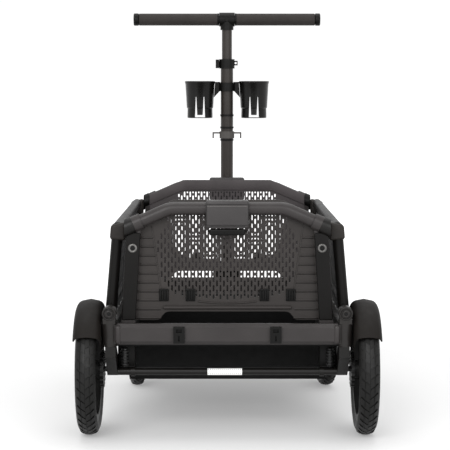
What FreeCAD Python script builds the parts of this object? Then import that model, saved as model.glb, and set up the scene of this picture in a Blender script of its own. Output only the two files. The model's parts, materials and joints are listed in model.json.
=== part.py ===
"""Four-wheel wagon stroller for pets: a folding open cabin with a T-handle mast at its front end.

Frame: +Z up, +Y towards the handle, +X to the right seen from behind, the ground at Z 0 and the
origin at the middle of the footprint.  All lengths are millimetres.
"""
import FreeCAD, Part
import math
import os
from types import SimpleNamespace

import Sketcher
from FreeCAD import Placement, Rotation, Vector

doc = FreeCAD.newDocument("pet_wagon")
sheet = doc.addObject("Spreadsheet::Sheet", "Sizes")

DRIVING = (
    # rear wheels, axle and brake
    ("rear_wheel_radius", 140, "rear tyre, outside"),
    ("rear_axle_back", "corner_end - 72", "rear axle behind the middle of the wagon"),
    ("rear_half_track", "corner_side + 47.5", "middle of a rear tyre from the centre line"),
    ("rear_tyre_wide", 44, "rear tyre width"),
    ("rear_rim_radius", "rear_wheel_radius - 28", "seat of the rear tyre"),
    ("rim_ring_deep", 14, "radial depth of a rim's outer ring"),
    ("rim_web", 7, "thickness of a rim's spokes"),
    ("rear_spokes", 10, "number of windows in a rear rim"),
    ("hub_radius", 19, "rear hub"),
    ("hub_outboard", 17.5, "rear hub outwards from the tyre's middle"),
    ("axle_radius", 6, "rear axle"),
    ("axle_head_radius", 11, "nut at the end of an axle"),
    ("axle_head_long", 7.5, "length of that nut"),
    ("rotor_radius", 40, "toothed brake disc"),
    ("rotor_thick", 7, "thickness of that disc"),
    ("rotor_teeth", 20, "number of its teeth"),
    ("rotor_gap_wide", 7, "gap between two teeth"),
    ("rotor_gap_deep", 7.5, "depth of that gap"),
    ("rotor_outboard", "corner_side + 16.5", "inner face of the disc from the centre line"),
    ("pin_radius", 2.75, "brake pin"),
    ("pin_long", 24, "length of a brake pin"),
    ("pin_outboard", "corner_side + 14.5", "tip of a released brake pin from the centre line"),
    ("pin_circle", 36.2, "brake pin from the axle"),
    ("pin_turn", 144, "its direction, degrees up from the front"),
    ("bar_radius", 7.5, "foot bar of the brake"),
    ("bar_back", 35, "foot bar behind the axle"),
    ("bar_gap", 1.0, "end of the foot bar to a leg"),
    ("bar_arm", 5, "thickness of the foot bar's arms"),
    ("collar_radius", 10, "ring on the foot bar"),
    ("collar_wide", 9, "width of that ring"),
    ("collar_outboard", "corner_side - 47", "ring from the centre line"),
    # fits
    ("turn_gap", 0.05, "radial clearance of a turning fit"),
    ("seat_gap", 0.3, "clearance between pieces that move past each other"),
    ("slide_gap", 0.25, "clearance of a sliding fit"),
    # mudguards
    ("guard_inboard", "corner_side + 17", "inner face of a mudguard from the centre line"),
    ("guard_wide", 57, "mudguard width"),
    ("guard_gap", 7.5, "tyre to mudguard"),
    ("guard_wall", 2.5, "mudguard wall"),
    ("guard_cheek", 68, "depth of the inner cheek below the crown"),
    ("guard_skirt", 18, "depth of the outer skirt below the crown"),
    ("guard_round", 11, "size of the rounded shoulders"),
    ("guard_sweep", 110, "arc that a mudguard covers, degrees"),
    # chassis
    ("corner_side", 247, "corner post from the centre line"),
    ("corner_end", 427, "corner post from the middle"),
    ("corner_radius", 15, "corner post"),
    ("corner_low", "deck_low + 4", "foot of the corner post"),
    ("corner_high", "deck_low + 60", "top of its round part"),
    ("knuckle_high", "deck_low + 74", "fold axis of the sides"),
    ("knuckle_deep", 28, "knuckle along its bolt"),
    ("bolt_radius", 4, "hinge bolts and pins"),
    ("bolt_head_radius", "bolt_radius + 4", "head of a hinge bolt"),
    ("bolt_head_long", 6, "length of that head"),
    ("crossbar_deep", 26, "crossbar, front to back"),
    ("crossbar_tall", 44, "crossbar height"),
    ("crossbar_low", "deck_low + 8", "underside of a crossbar"),
    ("crossbar_bevel", 8, "bevel along a crossbar's corners"),
    ("socket_reach", 16, "corner casting to the end of a crossbar"),
    ("rail_wide", 24, "lower side rail width"),
    ("rail_tall", 44, "lower side rail height"),
    ("rail_low", "deck_low + 4", "underside of a lower side rail"),
    ("rail_end", "corner_end - 22", "end of a lower side rail from the middle"),
    ("wall_thin", 2, "wall of the metal tubes"),
    ("leg_inboard", "corner_side - 13.5", "inner face of a rear leg from the centre line"),
    ("leg_thick", 22, "rear leg thickness"),
    ("leg_toe", "rear_wheel_radius - 10", "underside of a rear leg"),
    ("deck_low", "front_wheel_radius * 2 + 32", "underside of the floor"),
    ("deck_thick", 10, "floor thickness"),
    ("deck_end", "corner_end - 27", "end of the floor from the middle"),
    ("well_wide", "corner_side * 2 - 59", "footwell, outside"),
    ("well_back", "corner_end - 207", "footwell behind the middle"),
    ("well_long", "corner_end * 2 - 490", "footwell length"),
    ("well_low", "deck_low - 102", "underside of the footwell"),
    ("well_wall", 3, "footwell wall"),
    ("well_lip", 8, "rim that rests on the floor"),
    ("well_lip_thick", 2, "thickness of that rim"),
    ("clip_side", 101, "strap clip from the centre line"),
    ("clip_wide", 23.5, "strap clip width"),
    ("clip_tall", 35, "strap clip height"),
    ("clip_deep", 8, "strap clip, front to back"),
    # casters
    ("caster_side", "corner_side - 11", "swivel axis from the centre line"),
    ("caster_front", "corner_end - 142", "swivel axis ahead of the middle"),
    ("caster_trail", 50, "wheel axle behind the swivel axis"),
    ("caster_turn", 11, "how far the casters have swung round at rest, degrees"),
    ("front_wheel_radius", 82, "front tyre, outside"),
    ("front_tyre_wide", 36, "front tyre width"),
    ("front_rim_radius", 60, "seat of the front tyre"),
    ("front_hub_radius", 13, "front hub"),
    ("front_axle_radius", 4, "front axle bolt"),
    ("fork_gap", 2.5, "front tyre to fork"),
    ("fork_thick", 5, "fork arm thickness"),
    ("crown_gap", 5, "front tyre to the fork's crown"),
    ("crown_thick", 6, "thickness of the fork's crown"),
    ("stem_radius", 6, "swivel stem"),
    ("stem_long", 16, "stem above the crown"),
    ("housing_radius", 22, "swivel housing"),
    # end walls
    ("hinge_end", "corner_end - 25", "fold axis of an end wall from the middle"),
    ("hinge_high", "deck_low + 28", "height of that axis"),
    ("post_wide", 29, "wall post width"),
    ("post_deep", 16, "wall post, front to back"),
    ("post_foot", "corner_side - 37.5", "foot of a wall post from the centre line"),
    ("post_head", "corner_side - 51", "head of a wall post from the centre line"),
    ("post_tall", "side_tall + 50", "wall post above the fold axis"),
    ("lug_drop", 8, "wall post below the fold axis"),
    ("tab_thick", 4, "hinge tab thickness"),
    ("arch_radius", 14, "arched top tube"),
    ("arch_set_back", 6, "top tube outwards from the fold axis"),
    ("arch_high", "side_tall + 88", "top tube above the fold axis"),
    ("arch_flat", "corner_side - 127", "half of the level stretch of the top tube"),
    ("arch_half", "corner_side - 31", "end of the top tube's middle line from the centre line"),
    ("arch_trim", "corner_side - 32.8", "where the top tube and its sleeves are cut off upright"),
    ("arch_end_high", "side_tall + 46", "that end above the fold axis"),
    ("arch_bend", 60, "bend radius of the top tube"),
    ("sleeve_radius", 17, "plastic sleeve at the end of the top tube"),
    ("sleeve_long", 36, "length of that sleeve, sideways"),
    ("panel_thick", 4, "wall panel"),
    ("panel_foot", 27, "foot of the panel above the fold axis"),
    ("panel_foot_half", "corner_side - 47", "half width of the panel at its foot"),
    ("panel_rim", 3.5, "panel rim above the top tube"),
    ("notch_foot_half", "corner_side - 97", "half width of the notch at the panel's foot"),
    ("notch_head_half", "corner_side - 111", "half width of the notch at its top"),
    ("notch_tall", 18, "notch height"),
    ("latch_wide", 90, "latch box width"),
    ("latch_low", "side_tall + 49", "underside of the latch box above the fold axis"),
    ("latch_tall", 56.5, "latch box height"),
    ("latch_out", 28, "latch box outwards from the fold axis"),
    ("lever_wide", 75, "latch lever width"),
    ("lever_tall", 13, "latch lever height"),
    ("lever_thick", 12, "latch lever thickness"),
    ("lever_drop", 3, "latch box to latch lever"),
    ("lever_pivot", 4, "pivot below the top of the latch lever"),
    ("lever_pin", 2, "radius of the latch lever's pivot"),
    ("ear_thick", 3.5, "ear that carries the latch lever"),
    # side frames
    ("side_lean", 5, "lean of a side frame towards the cabin, degrees"),
    ("side_post_end", "corner_end - 53", "side post from the middle"),
    ("side_tube", 12, "side frame tube radius"),
    ("side_tall", 176, "top rail above the fold axis"),
    ("side_sill", 16, "lower bar above the fold axis"),
    ("side_sill_radius", 8, "lower bar radius"),
    ("cloth_thick", 6, "side fabric"),
    ("cap_half", 14.2, "half thickness of a corner cap"),
    ("cap_long", 42, "corner cap along the side"),
    ("cap_tall", 40, "corner cap height"),
    ("cap_proud", 2, "corner cap beyond the tube"),
    # handle
    ("mast_front", "corner_end + 38", "mast ahead of the middle"),
    ("pivot_high", "deck_low + 19", "tilt axis of the mast"),
    ("mast_radius", 16, "outer tube of the mast"),
    ("mast_foot", 12, "outer tube below its tilt axis"),
    ("mast_top", 793, "top of the outer tube"),
    ("inner_radius", "mast_radius - 3", "telescoping tube"),
    ("inner_low", 560, "foot of the telescoping tube"),
    ("bore_low", 480, "foot of the mast's bore"),
    ("grip_high", 920, "handlebar above the ground"),
    ("grip_radius", 16, "grip"),
    ("bar_half", 243, "half of the handlebar"),
    ("handle_tube", 11, "radius of the tube inside the grips"),
    ("hub_half", 20, "half width of the handle hub"),
    ("hub_round", 18, "radius of the handle hub"),
    ("hub_skirt", 27, "hub below the middle of the handlebar"),
    ("button_radius", 5, "button in the hub"),
    ("button_deep", 9, "length of that button"),
    ("button_proud", 3, "button beyond the hub"),
    ("clamp_radius", "mast_radius + 4", "clamp collar"),
    ("clamp_tall", 24, "clamp collar height"),
    ("clamp_lever_wide", 9, "clamp lever thickness"),
    ("clamp_lever_long", 28, "clamp lever length"),
    ("cup_side", "mast_radius + 54.5", "middle of a cup from the centre line"),
    ("cup_low", 664, "underside of a cup"),
    ("cup_tall", 96, "cup height"),
    ("cup_foot_radius", 33, "cup at its foot"),
    ("cup_mouth_radius", 39.5, "cup at its mouth"),
    ("cup_wall", 3, "cup wall"),
    ("cup_step_high", 27, "step in the cup's outside"),
    ("cup_step", 2, "size of that step"),
    ("cup_slot_half", 13.5, "half width of the cut in a cup"),
    ("cup_slot_tall", 55, "height of that cut"),
    ("carrier_low", 734, "underside of the cup carrier's collar"),
    ("carrier_tall", 22, "height of that collar"),
    ("carrier_radius", "mast_radius + 5", "radius of that collar"),
    ("web_thick", 6, "web between collar and cup"),
    ("web_drop", 44, "height of that web"),
    ("slider_low", 611, "underside of the release slider"),
    ("slider_tall", 18, "its height"),
    ("slider_radius", "mast_radius + 3.5", "its collar"),
    ("wing_half", "mast_radius + 22", "half span of its wings"),
    ("wing_thick", 4, "wing thickness"),
    ("wing_deep", 14, "wing, front to back"),
    ("wing_tip", 16, "height of a wing's turned-down tip"),
    ("pad_radius", "mast_radius + 1.5", "bumper rings on the mast"),
    ("pad_tall", 5, "height of a bumper ring"),
    ("pad_low", 604.5, "lowest bumper ring"),
    ("pad_step", 32, "from one bumper ring to the next"),
    ("cheek_gap", 1, "mast to bracket cheek"),
    ("cheek_thick", 6, "bracket cheek"),
    ("bracket_half", 36, "half width of the bracket's base"),
    ("bracket_base", 4, "thickness of that base"),
    ("bracket_low", "deck_low + 1", "underside of the bracket"),
    ("bracket_high", "deck_low + 74", "top of the bracket"),
    ("tilt_pin_radius", 5, "pin that the mast tilts on"),
)


class Size:
    """A length that carries its number and the sheet expression it comes from."""

    def __init__(self, value, text):
        self.value = float(value)
        self.text = text

    def __add__(self, other):
        other = size(other)
        return Size(self.value + other.value, f"({self.text} + {other.text})")

    def __sub__(self, other):
        other = size(other)
        return Size(self.value - other.value, f"({self.text} - {other.text})")

    def __mul__(self, other):
        other = size(other)
        return Size(self.value * other.value, f"({self.text} * {other.text})")

    def __truediv__(self, other):
        other = size(other)
        return Size(self.value / other.value, f"({self.text} / {other.text})")

    def __neg__(self):
        return Size(-self.value, f"(0 - {self.text})")

    def __radd__(self, other):
        return size(other) + self

    def __rsub__(self, other):
        return size(other) - self

    __rmul__ = __mul__


def size(value):
    """A Size as it is, or a plain number as one."""
    return value if isinstance(value, Size) else Size(value, f"({value:.10g})")


def sine(angle):
    return Size(math.sin(math.radians(angle.value)), f"sin({angle.text})")


def cosine(angle):
    return Size(math.cos(math.radians(angle.value)), f"cos({angle.text})")


def fill_sheet():
    """Write every driving size to the sheet, numbers before formulas, and return them by name."""
    for row, (alias, value, note) in enumerate(DRIVING, start=1):
        sheet.set(f"A{row}", note)
        sheet.setAlias(f"B{row}", alias)
        if not isinstance(value, str):
            sheet.set(f"B{row}", str(value))
    doc.recompute()
    for row, (alias, value, note) in enumerate(DRIVING, start=1):
        if isinstance(value, str):
            sheet.set(f"B{row}", "=" + value)
    doc.recompute()
    return SimpleNamespace(**{alias: Size(sheet.get(alias), "Sizes." + alias) for alias, value, note in DRIVING})


S = fill_sheet()
X_AXIS, Y_AXIS, Z_AXIS = Vector(1, 0, 0), Vector(0, 1, 0), Vector(0, 0, 1)
# what turns a cylinder, which stands along Z, so that it lies along another axis
LAID = {"X": (Y_AXIS, 90), "Y": (X_AXIS, -90), "Z": (Z_AXIS, 0)}
nodes = []


def node(obj, name):
    """Name a finished sub-part and list it for export."""
    obj.Label = name
    nodes.append(obj)
    return obj


def bind(obj, **sizes):
    """Bind properties to sheet expressions."""
    for prop, value in sizes.items():
        value = size(value)
        setattr(obj, prop, value.value)
        obj.setExpression(prop, value.text)
    return obj


def place(obj, at=(0, 0, 0), axis=None, turn=0):
    """Set an object's place, and bind it and its turn to the sheet."""
    at = [size(part) for part in at]
    turn = size(turn)
    spin = Rotation(axis, turn.value) if axis else Rotation()
    obj.Placement = Placement(Vector(*(part.value for part in at)), spin)
    for key, part in zip("xyz", at):
        obj.setExpression(".Placement.Base." + key, part.text)
    if axis and turn.value and turn.text.startswith("Sizes"):
        obj.setExpression(".Placement.Rotation.Angle", turn.text)
    return obj


def box(name, spans):
    """A block from three (low, high) pairs."""
    obj = doc.addObject("Part::Box", name)
    lows = [size(low) for low, high in spans]
    bind(obj, Length=spans[0][1] - lows[0], Width=spans[1][1] - lows[1], Height=spans[2][1] - lows[2])
    return place(obj, lows)


def block(name, centre, sizes):
    """A block from its middle and its three sizes."""
    return box(name, [(size(c) - size(w) / 2, size(c) + size(w) / 2) for c, w in zip(centre, sizes)])


def rod(name, radius, along, start, length):
    """A round bar along X, Y or Z from its start."""
    obj = doc.addObject("Part::Cylinder", name)
    bind(obj, Radius=radius, Height=length)
    axis, turn = LAID[along]
    place(obj, start)
    obj.Placement = Placement(obj.Placement.Base, Rotation(axis, turn))
    return obj


def mid_rod(name, radius, along, centre, length):
    """A round bar along X, Y or Z from its middle."""
    index = "XYZ".index(along)
    start = [size(part) for part in centre]
    start[index] = start[index] - size(length) / 2
    return rod(name, radius, along, start, length)


def fuse(name, *shapes):
    obj = doc.addObject("Part::MultiFuse", name)
    obj.Shapes = list(shapes)
    return obj


def group(name, *shapes):
    """Separate solids of one node."""
    obj = doc.addObject("Part::Compound", name)
    obj.Links = list(shapes)
    return obj


def cut(name, base, *tools):
    obj = doc.addObject("Part::Cut", name)
    obj.Base = base
    obj.Tool = tools[0] if len(tools) == 1 else fuse(name + "_tools", *tools)
    return obj


def tube(name, radius, bore, along, start, length):
    """A round tube, open at both ends."""
    outer = rod(name + "_outer", radius, along, start, length)
    return cut(name, outer, rod(name + "_bore", bore, along, start, length))


def new_body(name):
    return doc.addObject("PartDesign::Body", name)


def new_sketch(body, name, plane, lift=0):
    """A sketch on one of the body's own origin planes, raised by lift."""
    sketch = body.newObject("Sketcher::SketchObject", name)
    face = [item for item in body.Origin.OriginFeatures if item.Role == plane][0]
    sketch.AttachmentSupport = [(face, "")]
    sketch.MapMode = "FlatFace"
    lift = size(lift)
    sketch.AttachmentOffset = Placement(Vector(0, 0, lift.value), Rotation())
    sketch.setExpression(".AttachmentOffset.Base.z", lift.text)
    return sketch


def outline(sketch, points):
    """A closed outline of straight sides, each corner held by two sheet expressions."""
    corners = [(size(a), size(b)) for a, b in points]
    first = sketch.GeometryCount
    spots = [Vector(a.value, b.value, 0) for a, b in corners]
    for here, there in zip(spots, spots[1:] + spots[:1]):
        sketch.addGeometry(Part.LineSegment(here, there), False)
    count = len(corners)
    for index in range(count):
        after = first + (index + 1) % count
        sketch.addConstraint(Sketcher.Constraint("Coincident", first + index, 2, after, 1))
    for index, (a, b) in enumerate(corners):
        for kind, part in (("DistanceX", a), ("DistanceY", b)):
            held = sketch.addConstraint(
                Sketcher.Constraint(kind, -1, 1, first + index, 1, part.value))
            sketch.setExpression(f"Constraints[{held}]", part.text)


def circle(sketch, centre, radius):
    """A circle held by its centre and radius."""
    a, b, radius = size(centre[0]), size(centre[1]), size(radius)
    index = sketch.addGeometry(Part.Circle(Vector(a.value, b.value, 0), Z_AXIS, radius.value), False)
    for kind, part in (("DistanceX", a), ("DistanceY", b)):
        held = sketch.addConstraint(Sketcher.Constraint(kind, -1, 1, index, 3, part.value))
        sketch.setExpression(f"Constraints[{held}]", part.text)
    held = sketch.addConstraint(Sketcher.Constraint("Radius", index, radius.value))
    sketch.setExpression(f"Constraints[{held}]", radius.text)


def pad(body, sketch, length, midplane=False, reverse=False):
    obj = body.newObject("PartDesign::Pad", sketch.Name + "_pad")
    obj.Profile = sketch
    bind(obj, Length=length)
    obj.Midplane = midplane
    obj.Reversed = reverse
    sketch.Visibility = False
    return obj


def pocket(body, sketch, depth, midplane=False, reverse=False):
    """A cut, checked to take something away."""
    doc.recompute()
    before = body.Shape.Volume
    obj = body.newObject("PartDesign::Pocket", sketch.Name + "_pocket")
    obj.Profile = sketch
    bind(obj, Length=depth)
    obj.Midplane = midplane
    obj.Reversed = reverse
    doc.recompute()
    if body.Shape.Volume > before - 1:
        raise RuntimeError(f"{obj.Name} cuts nothing")
    return obj


def revolve(body, sketch, angle=360, midplane=False):
    """Turn a profile about the sketch's horizontal axis."""
    obj = body.newObject("PartDesign::Revolution", sketch.Name + "_turned")
    obj.Profile = sketch
    obj.ReferenceAxis = (sketch, ["H_Axis"])
    bind(obj, Angle=angle)
    obj.Midplane = midplane
    return obj


def revolve_upright(body, sketch):
    obj = body.newObject("PartDesign::Revolution", sketch.Name + "_turned")
    obj.Profile = sketch
    obj.ReferenceAxis = (sketch, ["V_Axis"])
    obj.Angle = 360
    return obj


def ring_pattern(body, feature, sketch, count):
    """Repeat a feature round the normal of its sketch."""
    obj = body.newObject("PartDesign::PolarPattern", feature.Name + "_ring")
    obj.Originals = [feature]
    obj.Axis = (sketch, ["N_Axis"])
    obj.Angle = 360
    obj.setExpression("Occurrences", count.text)
    body.Tip = obj
    doc.recompute()
    return obj


SIDES = (("left", -1), ("right", 1))
ENDS = (("rear", -1), ("front", 1))
REAR_AXLE = (-S.rear_axle_back, S.rear_wheel_radius)


# ---------------------------------------------------------------- chassis

def bevelled(half_a, low, high, bevel):
    """Corner points of a bevelled box section between low and high."""
    return [(-half_a, low + bevel), (bevel - half_a, low), (half_a - bevel, low), (half_a, low + bevel),
            (half_a, high - bevel), (half_a - bevel, high), (bevel - half_a, high), (-half_a, high - bevel)]


def crossbar(end, sign):
    body = new_body(end + "_crossbar_body")
    sketch = new_sketch(body, end + "_crossbar_section", "YZ_Plane")
    half = S.crossbar_deep / 2
    low, high = S.crossbar_low, S.crossbar_low + S.crossbar_tall
    thin = S.wall_thin
    outline(sketch, bevelled(half, low, high, S.crossbar_bevel))
    outline(sketch, bevelled(half - thin, low + thin, high - thin, S.crossbar_bevel - thin / 2))
    pad(body, sketch, (S.corner_side - S.socket_reach) * 2, midplane=True)
    place(body, (0, S.corner_end * sign, 0))
    node(body, end + "_crossbar")


def lower_rails():
    rails = []
    for side, sign in SIDES:
        half, thin = S.rail_wide / 2, S.wall_thin
        low, high = S.rail_low, S.rail_low + S.rail_tall
        outer = block(side + "_rail_outer", (S.corner_side * sign, 0, (low + high) / 2),
                      (half * 2, S.rail_end * 2, high - low))
        inner = block(side + "_rail_inner", (S.corner_side * sign, 0, (low + high) / 2),
                      (half * 2 - thin * 2, S.rail_end * 2, high - low - thin * 2))
        rails.append(cut(side + "_rail", outer, inner))
    node(group("lower_rails", *rails), "lower_rails")


def corner_castings(end, facing):
    """Corner posts with a knuckle for the side's bolt and sockets for crossbar and rail."""
    castings = []
    for side, sign in SIDES:
        tag = f"{end}_{side}_corner"
        x, y = S.corner_side * sign, S.corner_end * facing
        post = rod(tag + "_post", S.corner_radius, "Z", (x, y, S.corner_low), S.corner_high - S.corner_low)
        eye = mid_rod(tag + "_eye", S.corner_radius, "Y", (x, y, S.knuckle_high), S.knuckle_deep)
        neck = block(tag + "_neck", (x, y, (S.corner_high + S.knuckle_high) / 2 - S.corner_radius / 4),
                     (S.corner_radius * 1.7, S.knuckle_deep, S.knuckle_high - S.corner_high + 8))
        socket_x = (S.corner_side - S.socket_reach / 2) * sign
        high_bar = S.crossbar_low + S.crossbar_tall / 2
        bar_socket = block(tag + "_bar_socket", (socket_x, y, high_bar),
                           (S.socket_reach, S.crossbar_deep - 4, S.crossbar_tall - 4))
        reach = S.corner_end - S.rail_end
        rail_socket = block(tag + "_rail_socket",
                            (x, (S.rail_end + reach / 2) * facing, S.rail_low + S.rail_tall / 2),
                            (S.rail_wide - 2, reach, S.rail_tall - 4))
        whole = fuse(tag + "_whole", post, eye, neck, bar_socket, rail_socket)
        bore = mid_rod(tag + "_bore", S.bolt_radius + S.turn_gap, "Y", (x, y, S.knuckle_high),
                       S.knuckle_deep * 2)
        castings.append(cut(tag, whole, bore))
    node(group(end + "_corners", *castings), end + "_corners")


def rear_legs():
    """Flat legs from the rear corner posts down and forwards to the axle."""
    legs = []
    y, z = REAR_AXLE
    back = -S.corner_end - S.corner_radius
    for side, sign in SIDES:
        body = new_body(side + "_leg")
        lift = S.leg_inboard if sign > 0 else -S.leg_inboard - S.leg_thick
        sketch = new_sketch(body, side + "_leg_outline", "YZ_Plane", lift)
        outline(sketch, [(back, S.corner_low), (-S.rail_end - 4, S.corner_low), (y + 19, z + 12),
                         (y + 19, S.leg_toe), (y - 23, S.leg_toe), (back, S.corner_low - 22)])
        pad(body, sketch, S.leg_thick)
        holes = new_sketch(body, side + "_leg_holes", "YZ_Plane", lift)
        circle(holes, (y, z), S.axle_radius + S.turn_gap)
        circle(holes, brake_pin_spot(), S.pin_radius + S.turn_gap)
        pocket(body, holes, S.leg_thick, reverse=True)
        legs.append(body)
    node(group("rear_legs", *legs), "rear_legs")


def brake_pin_spot():
    y, z = REAR_AXLE
    return y + S.pin_circle * cosine(S.pin_turn), z + S.pin_circle * sine(S.pin_turn)


def rear_axle():
    y, z = REAR_AXLE
    inner = S.rear_half_track + S.hub_outboard + S.seat_gap
    shaft = mid_rod("axle_shaft", S.axle_radius, "X", (0, y, z), inner * 2)
    heads = [mid_rod(side + "_axle_head", S.axle_head_radius, "X",
                     ((inner + S.axle_head_long / 2) * sign, y, z), S.axle_head_long)
             for side, sign in SIDES]
    node(fuse("rear_axle", shaft, *heads), "rear_axle")


def well_middle():
    return S.well_long / 2 - S.well_back


def floor_deck():
    top = S.deck_low + S.deck_thick
    half = S.corner_side - S.rail_wide / 2
    slab = box("deck_slab", [(-half, half), (-S.deck_end, S.deck_end), (S.deck_low, top)])
    hole = block("deck_hole", (0, well_middle(), S.deck_low + S.deck_thick / 2),
                 (S.well_wide + S.seat_gap * 2, S.well_long + S.seat_gap * 2, S.deck_thick * 2))
    node(cut("floor_deck", slab, hole), "floor_deck")


def footwell_tub():
    body = new_body("footwell")
    top = S.deck_low + S.deck_thick
    half, wall, lip = S.well_wide / 2, S.well_wall, S.well_lip
    low_y, high_y = -S.well_back, S.well_long - S.well_back

    def frame(grow):
        return [(-half - grow, low_y - grow), (half + grow, low_y - grow),
                (half + grow, high_y + grow), (-half - grow, high_y + grow)]

    outer = new_sketch(body, "well_outer", "XY_Plane", S.well_low)
    outline(outer, frame(size(0)))
    pad(body, outer, top - S.well_low)
    rim = new_sketch(body, "well_rim", "XY_Plane", top)
    outline(rim, frame(lip))
    pad(body, rim, S.well_lip_thick)
    inner = new_sketch(body, "well_inner", "XY_Plane", S.well_low + wall)
    outline(inner, frame(-wall))
    pocket(body, inner, top + S.well_lip_thick - S.well_low, reverse=True)
    node(body, "footwell_tub")


def crossbar_clips():
    """Strap clips on the outer face of the rear crossbar."""
    clips = []
    y = -S.corner_end - S.crossbar_deep / 2 - S.clip_deep / 2
    z = S.crossbar_low + S.crossbar_tall / 2
    for side, sign in SIDES:
        base = block(side + "_clip_block", (S.clip_side * sign, y, z), (S.clip_wide, S.clip_deep, S.clip_tall))
        eye = block(side + "_clip_eye", (S.clip_side * sign, y - 2, z + S.clip_tall / 4),
                    (S.clip_wide / 2, S.clip_deep, S.clip_tall / 5))
        slit = block(side + "_clip_slit", (S.clip_side * sign, y - 2, z - S.clip_tall / 5),
                     (S.clip_wide / 8, S.clip_deep, S.clip_tall / 3))
        clips.append(cut(side + "_clip", base, eye, slit))
    node(group("crossbar_clips", *clips), "crossbar_clips")


def wall_hinges():
    """Two tabs and a pin for the foot of each wall post."""
    pieces = []
    reach = S.corner_end - S.crossbar_deep / 2
    tall = S.lug_drop * 2
    for end, facing in ENDS:
        for side, sign in SIDES:
            for where, step in (("in", -1), ("out", 1)):
                x = (S.post_foot + (S.post_wide / 2 + S.seat_gap + S.tab_thick / 2) * step) * sign
                inner_end = S.hinge_end - S.lug_drop
                tab = block(f"{end}_{side}_{where}_tab",
                            (x, (inner_end + reach) / 2 * facing, S.hinge_high),
                            (S.tab_thick, reach - inner_end, tall))
                bore = mid_rod(f"{end}_{side}_{where}_tab_bore", S.bolt_radius, "X",
                               (x, S.hinge_end * facing, S.hinge_high), S.tab_thick * 2)
                pieces.append(cut(f"{end}_{side}_{where}_tab_cut", tab, bore))
            span = S.post_wide + S.tab_thick * 2 + 3
            pieces.append(mid_rod(f"{end}_{side}_pin", S.bolt_radius, "X",
                                  (S.post_foot * sign, S.hinge_end * facing, S.hinge_high), span))
    node(group("wall_hinges", *pieces), "wall_hinges")


def side_hinge_bolts():
    """Socket bolts through the corner knuckles, on which the sides fold."""
    bolts = []
    for end, facing in ENDS:
        for side, sign in SIDES:
            tag = f"{end}_{side}_bolt"
            x, face = S.corner_side * sign, S.corner_end + S.knuckle_deep / 2
            inner_end = S.side_post_end + S.side_tube + 2
            shank = mid_rod(tag + "_shank", S.bolt_radius, "Y",
                            (x, (face + inner_end) / 2 * facing, S.knuckle_high), face - inner_end)
            head = mid_rod(tag + "_head", S.bolt_head_radius, "Y",
                           (x, (face + S.bolt_head_long / 2) * facing, S.knuckle_high), S.bolt_head_long)
            key = mid_rod(tag + "_key", S.bolt_head_radius / 2, "Y",
                          (x, (face + S.bolt_head_long) * facing, S.knuckle_high), S.bolt_head_long)
            bolts.append(cut(tag, fuse(tag + "_whole", shank, head), key))
    node(group("side_hinge_bolts", *bolts), "side_hinge_bolts")


def mudguards():
    crown = S.rear_wheel_radius + S.guard_gap + S.guard_wall
    wall, bend = S.guard_wall, S.guard_round
    wide = S.guard_wide
    for side, sign in SIDES:
        body = new_body(side + "_guard")
        sketch = new_sketch(body, side + "_guard_section", "XZ_Plane")
        outline(sketch, [
            (0, crown - S.guard_cheek), (wall, crown - S.guard_cheek), (wall, crown - bend - wall / 2),
            (bend + wall / 2, crown - wall), (wide - bend - wall / 2, crown - wall),
            (wide - wall, crown - bend - wall / 2), (wide - wall, crown - S.guard_skirt),
            (wide, crown - S.guard_skirt), (wide, crown - bend), (wide - bend, crown),
            (bend, crown), (0, crown - bend)])
        revolve(body, sketch, S.guard_sweep, midplane=True)
        place(body, (S.guard_inboard * sign, *REAR_AXLE), Z_AXIS, 0 if sign > 0 else 180)
        stay = mid_rod(side + "_guard_stay", S.hub_radius / 2, "X",
                       ((S.corner_side + S.rail_wide / 2 + S.guard_inboard) / 2 * sign,
                        -S.rear_axle_back, S.rail_low + S.rail_tall / 2),
                       S.guard_inboard - S.corner_side - S.rail_wide / 2)
        node(fuse(side + "_mudguard_whole", body, stay), side + "_mudguard")


def handle_bracket():
    face = S.corner_end + S.crossbar_deep / 2
    inner = S.mast_radius + S.cheek_gap
    base = box("bracket_base_plate", [(-S.bracket_half, S.bracket_half), (face, face + S.bracket_base),
                                      (S.crossbar_low + 2, S.bracket_high)])
    cheeks = []
    for side, sign in SIDES:
        plate = block(side + "_cheek_plate",
                      ((inner + S.cheek_thick / 2) * sign, (face + S.mast_front + S.mast_radius) / 2,
                       (S.bracket_low + S.bracket_high) / 2),
                      (S.cheek_thick, S.mast_front + S.mast_radius - face, S.bracket_high - S.bracket_low))
        cheeks.append(plate)
    bore = mid_rod("bracket_bore", S.tilt_pin_radius, "X", (0, S.mast_front, S.pivot_high), S.bracket_half * 2)
    bracket = cut("bracket_cut", fuse("bracket_whole", base, *cheeks), bore)
    pin = mid_rod("tilt_pin", S.tilt_pin_radius, "X", (0, S.mast_front, S.pivot_high),
                  (inner + S.cheek_thick) * 2 + 4)
    node(group("handle_bracket", bracket, pin), "handle_bracket")


def caster_crown_top():
    return S.front_wheel_radius * 2 + S.crown_gap + S.crown_thick


def caster_housings():
    """Swivel housings under the front of the lower side rails."""
    housings = []
    low = caster_crown_top() + S.seat_gap
    for side, sign in SIDES:
        tag = side + "_housing"
        x, y = S.caster_side * sign, S.caster_front
        drum = rod(tag + "_drum", S.housing_radius, "Z", (x, y, low), S.deck_low - low)
        inner = S.corner_side - S.rail_wide / 2 + S.seat_gap
        outer = S.corner_side + S.rail_wide / 2
        arm = block(tag + "_arm", ((inner + outer) / 2 * sign, y, (low + 5 + S.rail_low) / 2),
                    (outer - inner, S.housing_radius * 2.6, S.rail_low - low - 5))
        bore = rod(tag + "_bore", S.stem_radius + S.turn_gap, "Z", (x, y, low - 1),
                   S.stem_long + 1)
        housings.append(cut(tag, fuse(tag + "_whole", drum, arm), bore))
    node(group("caster_housings", *housings), "caster_housings")


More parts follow.
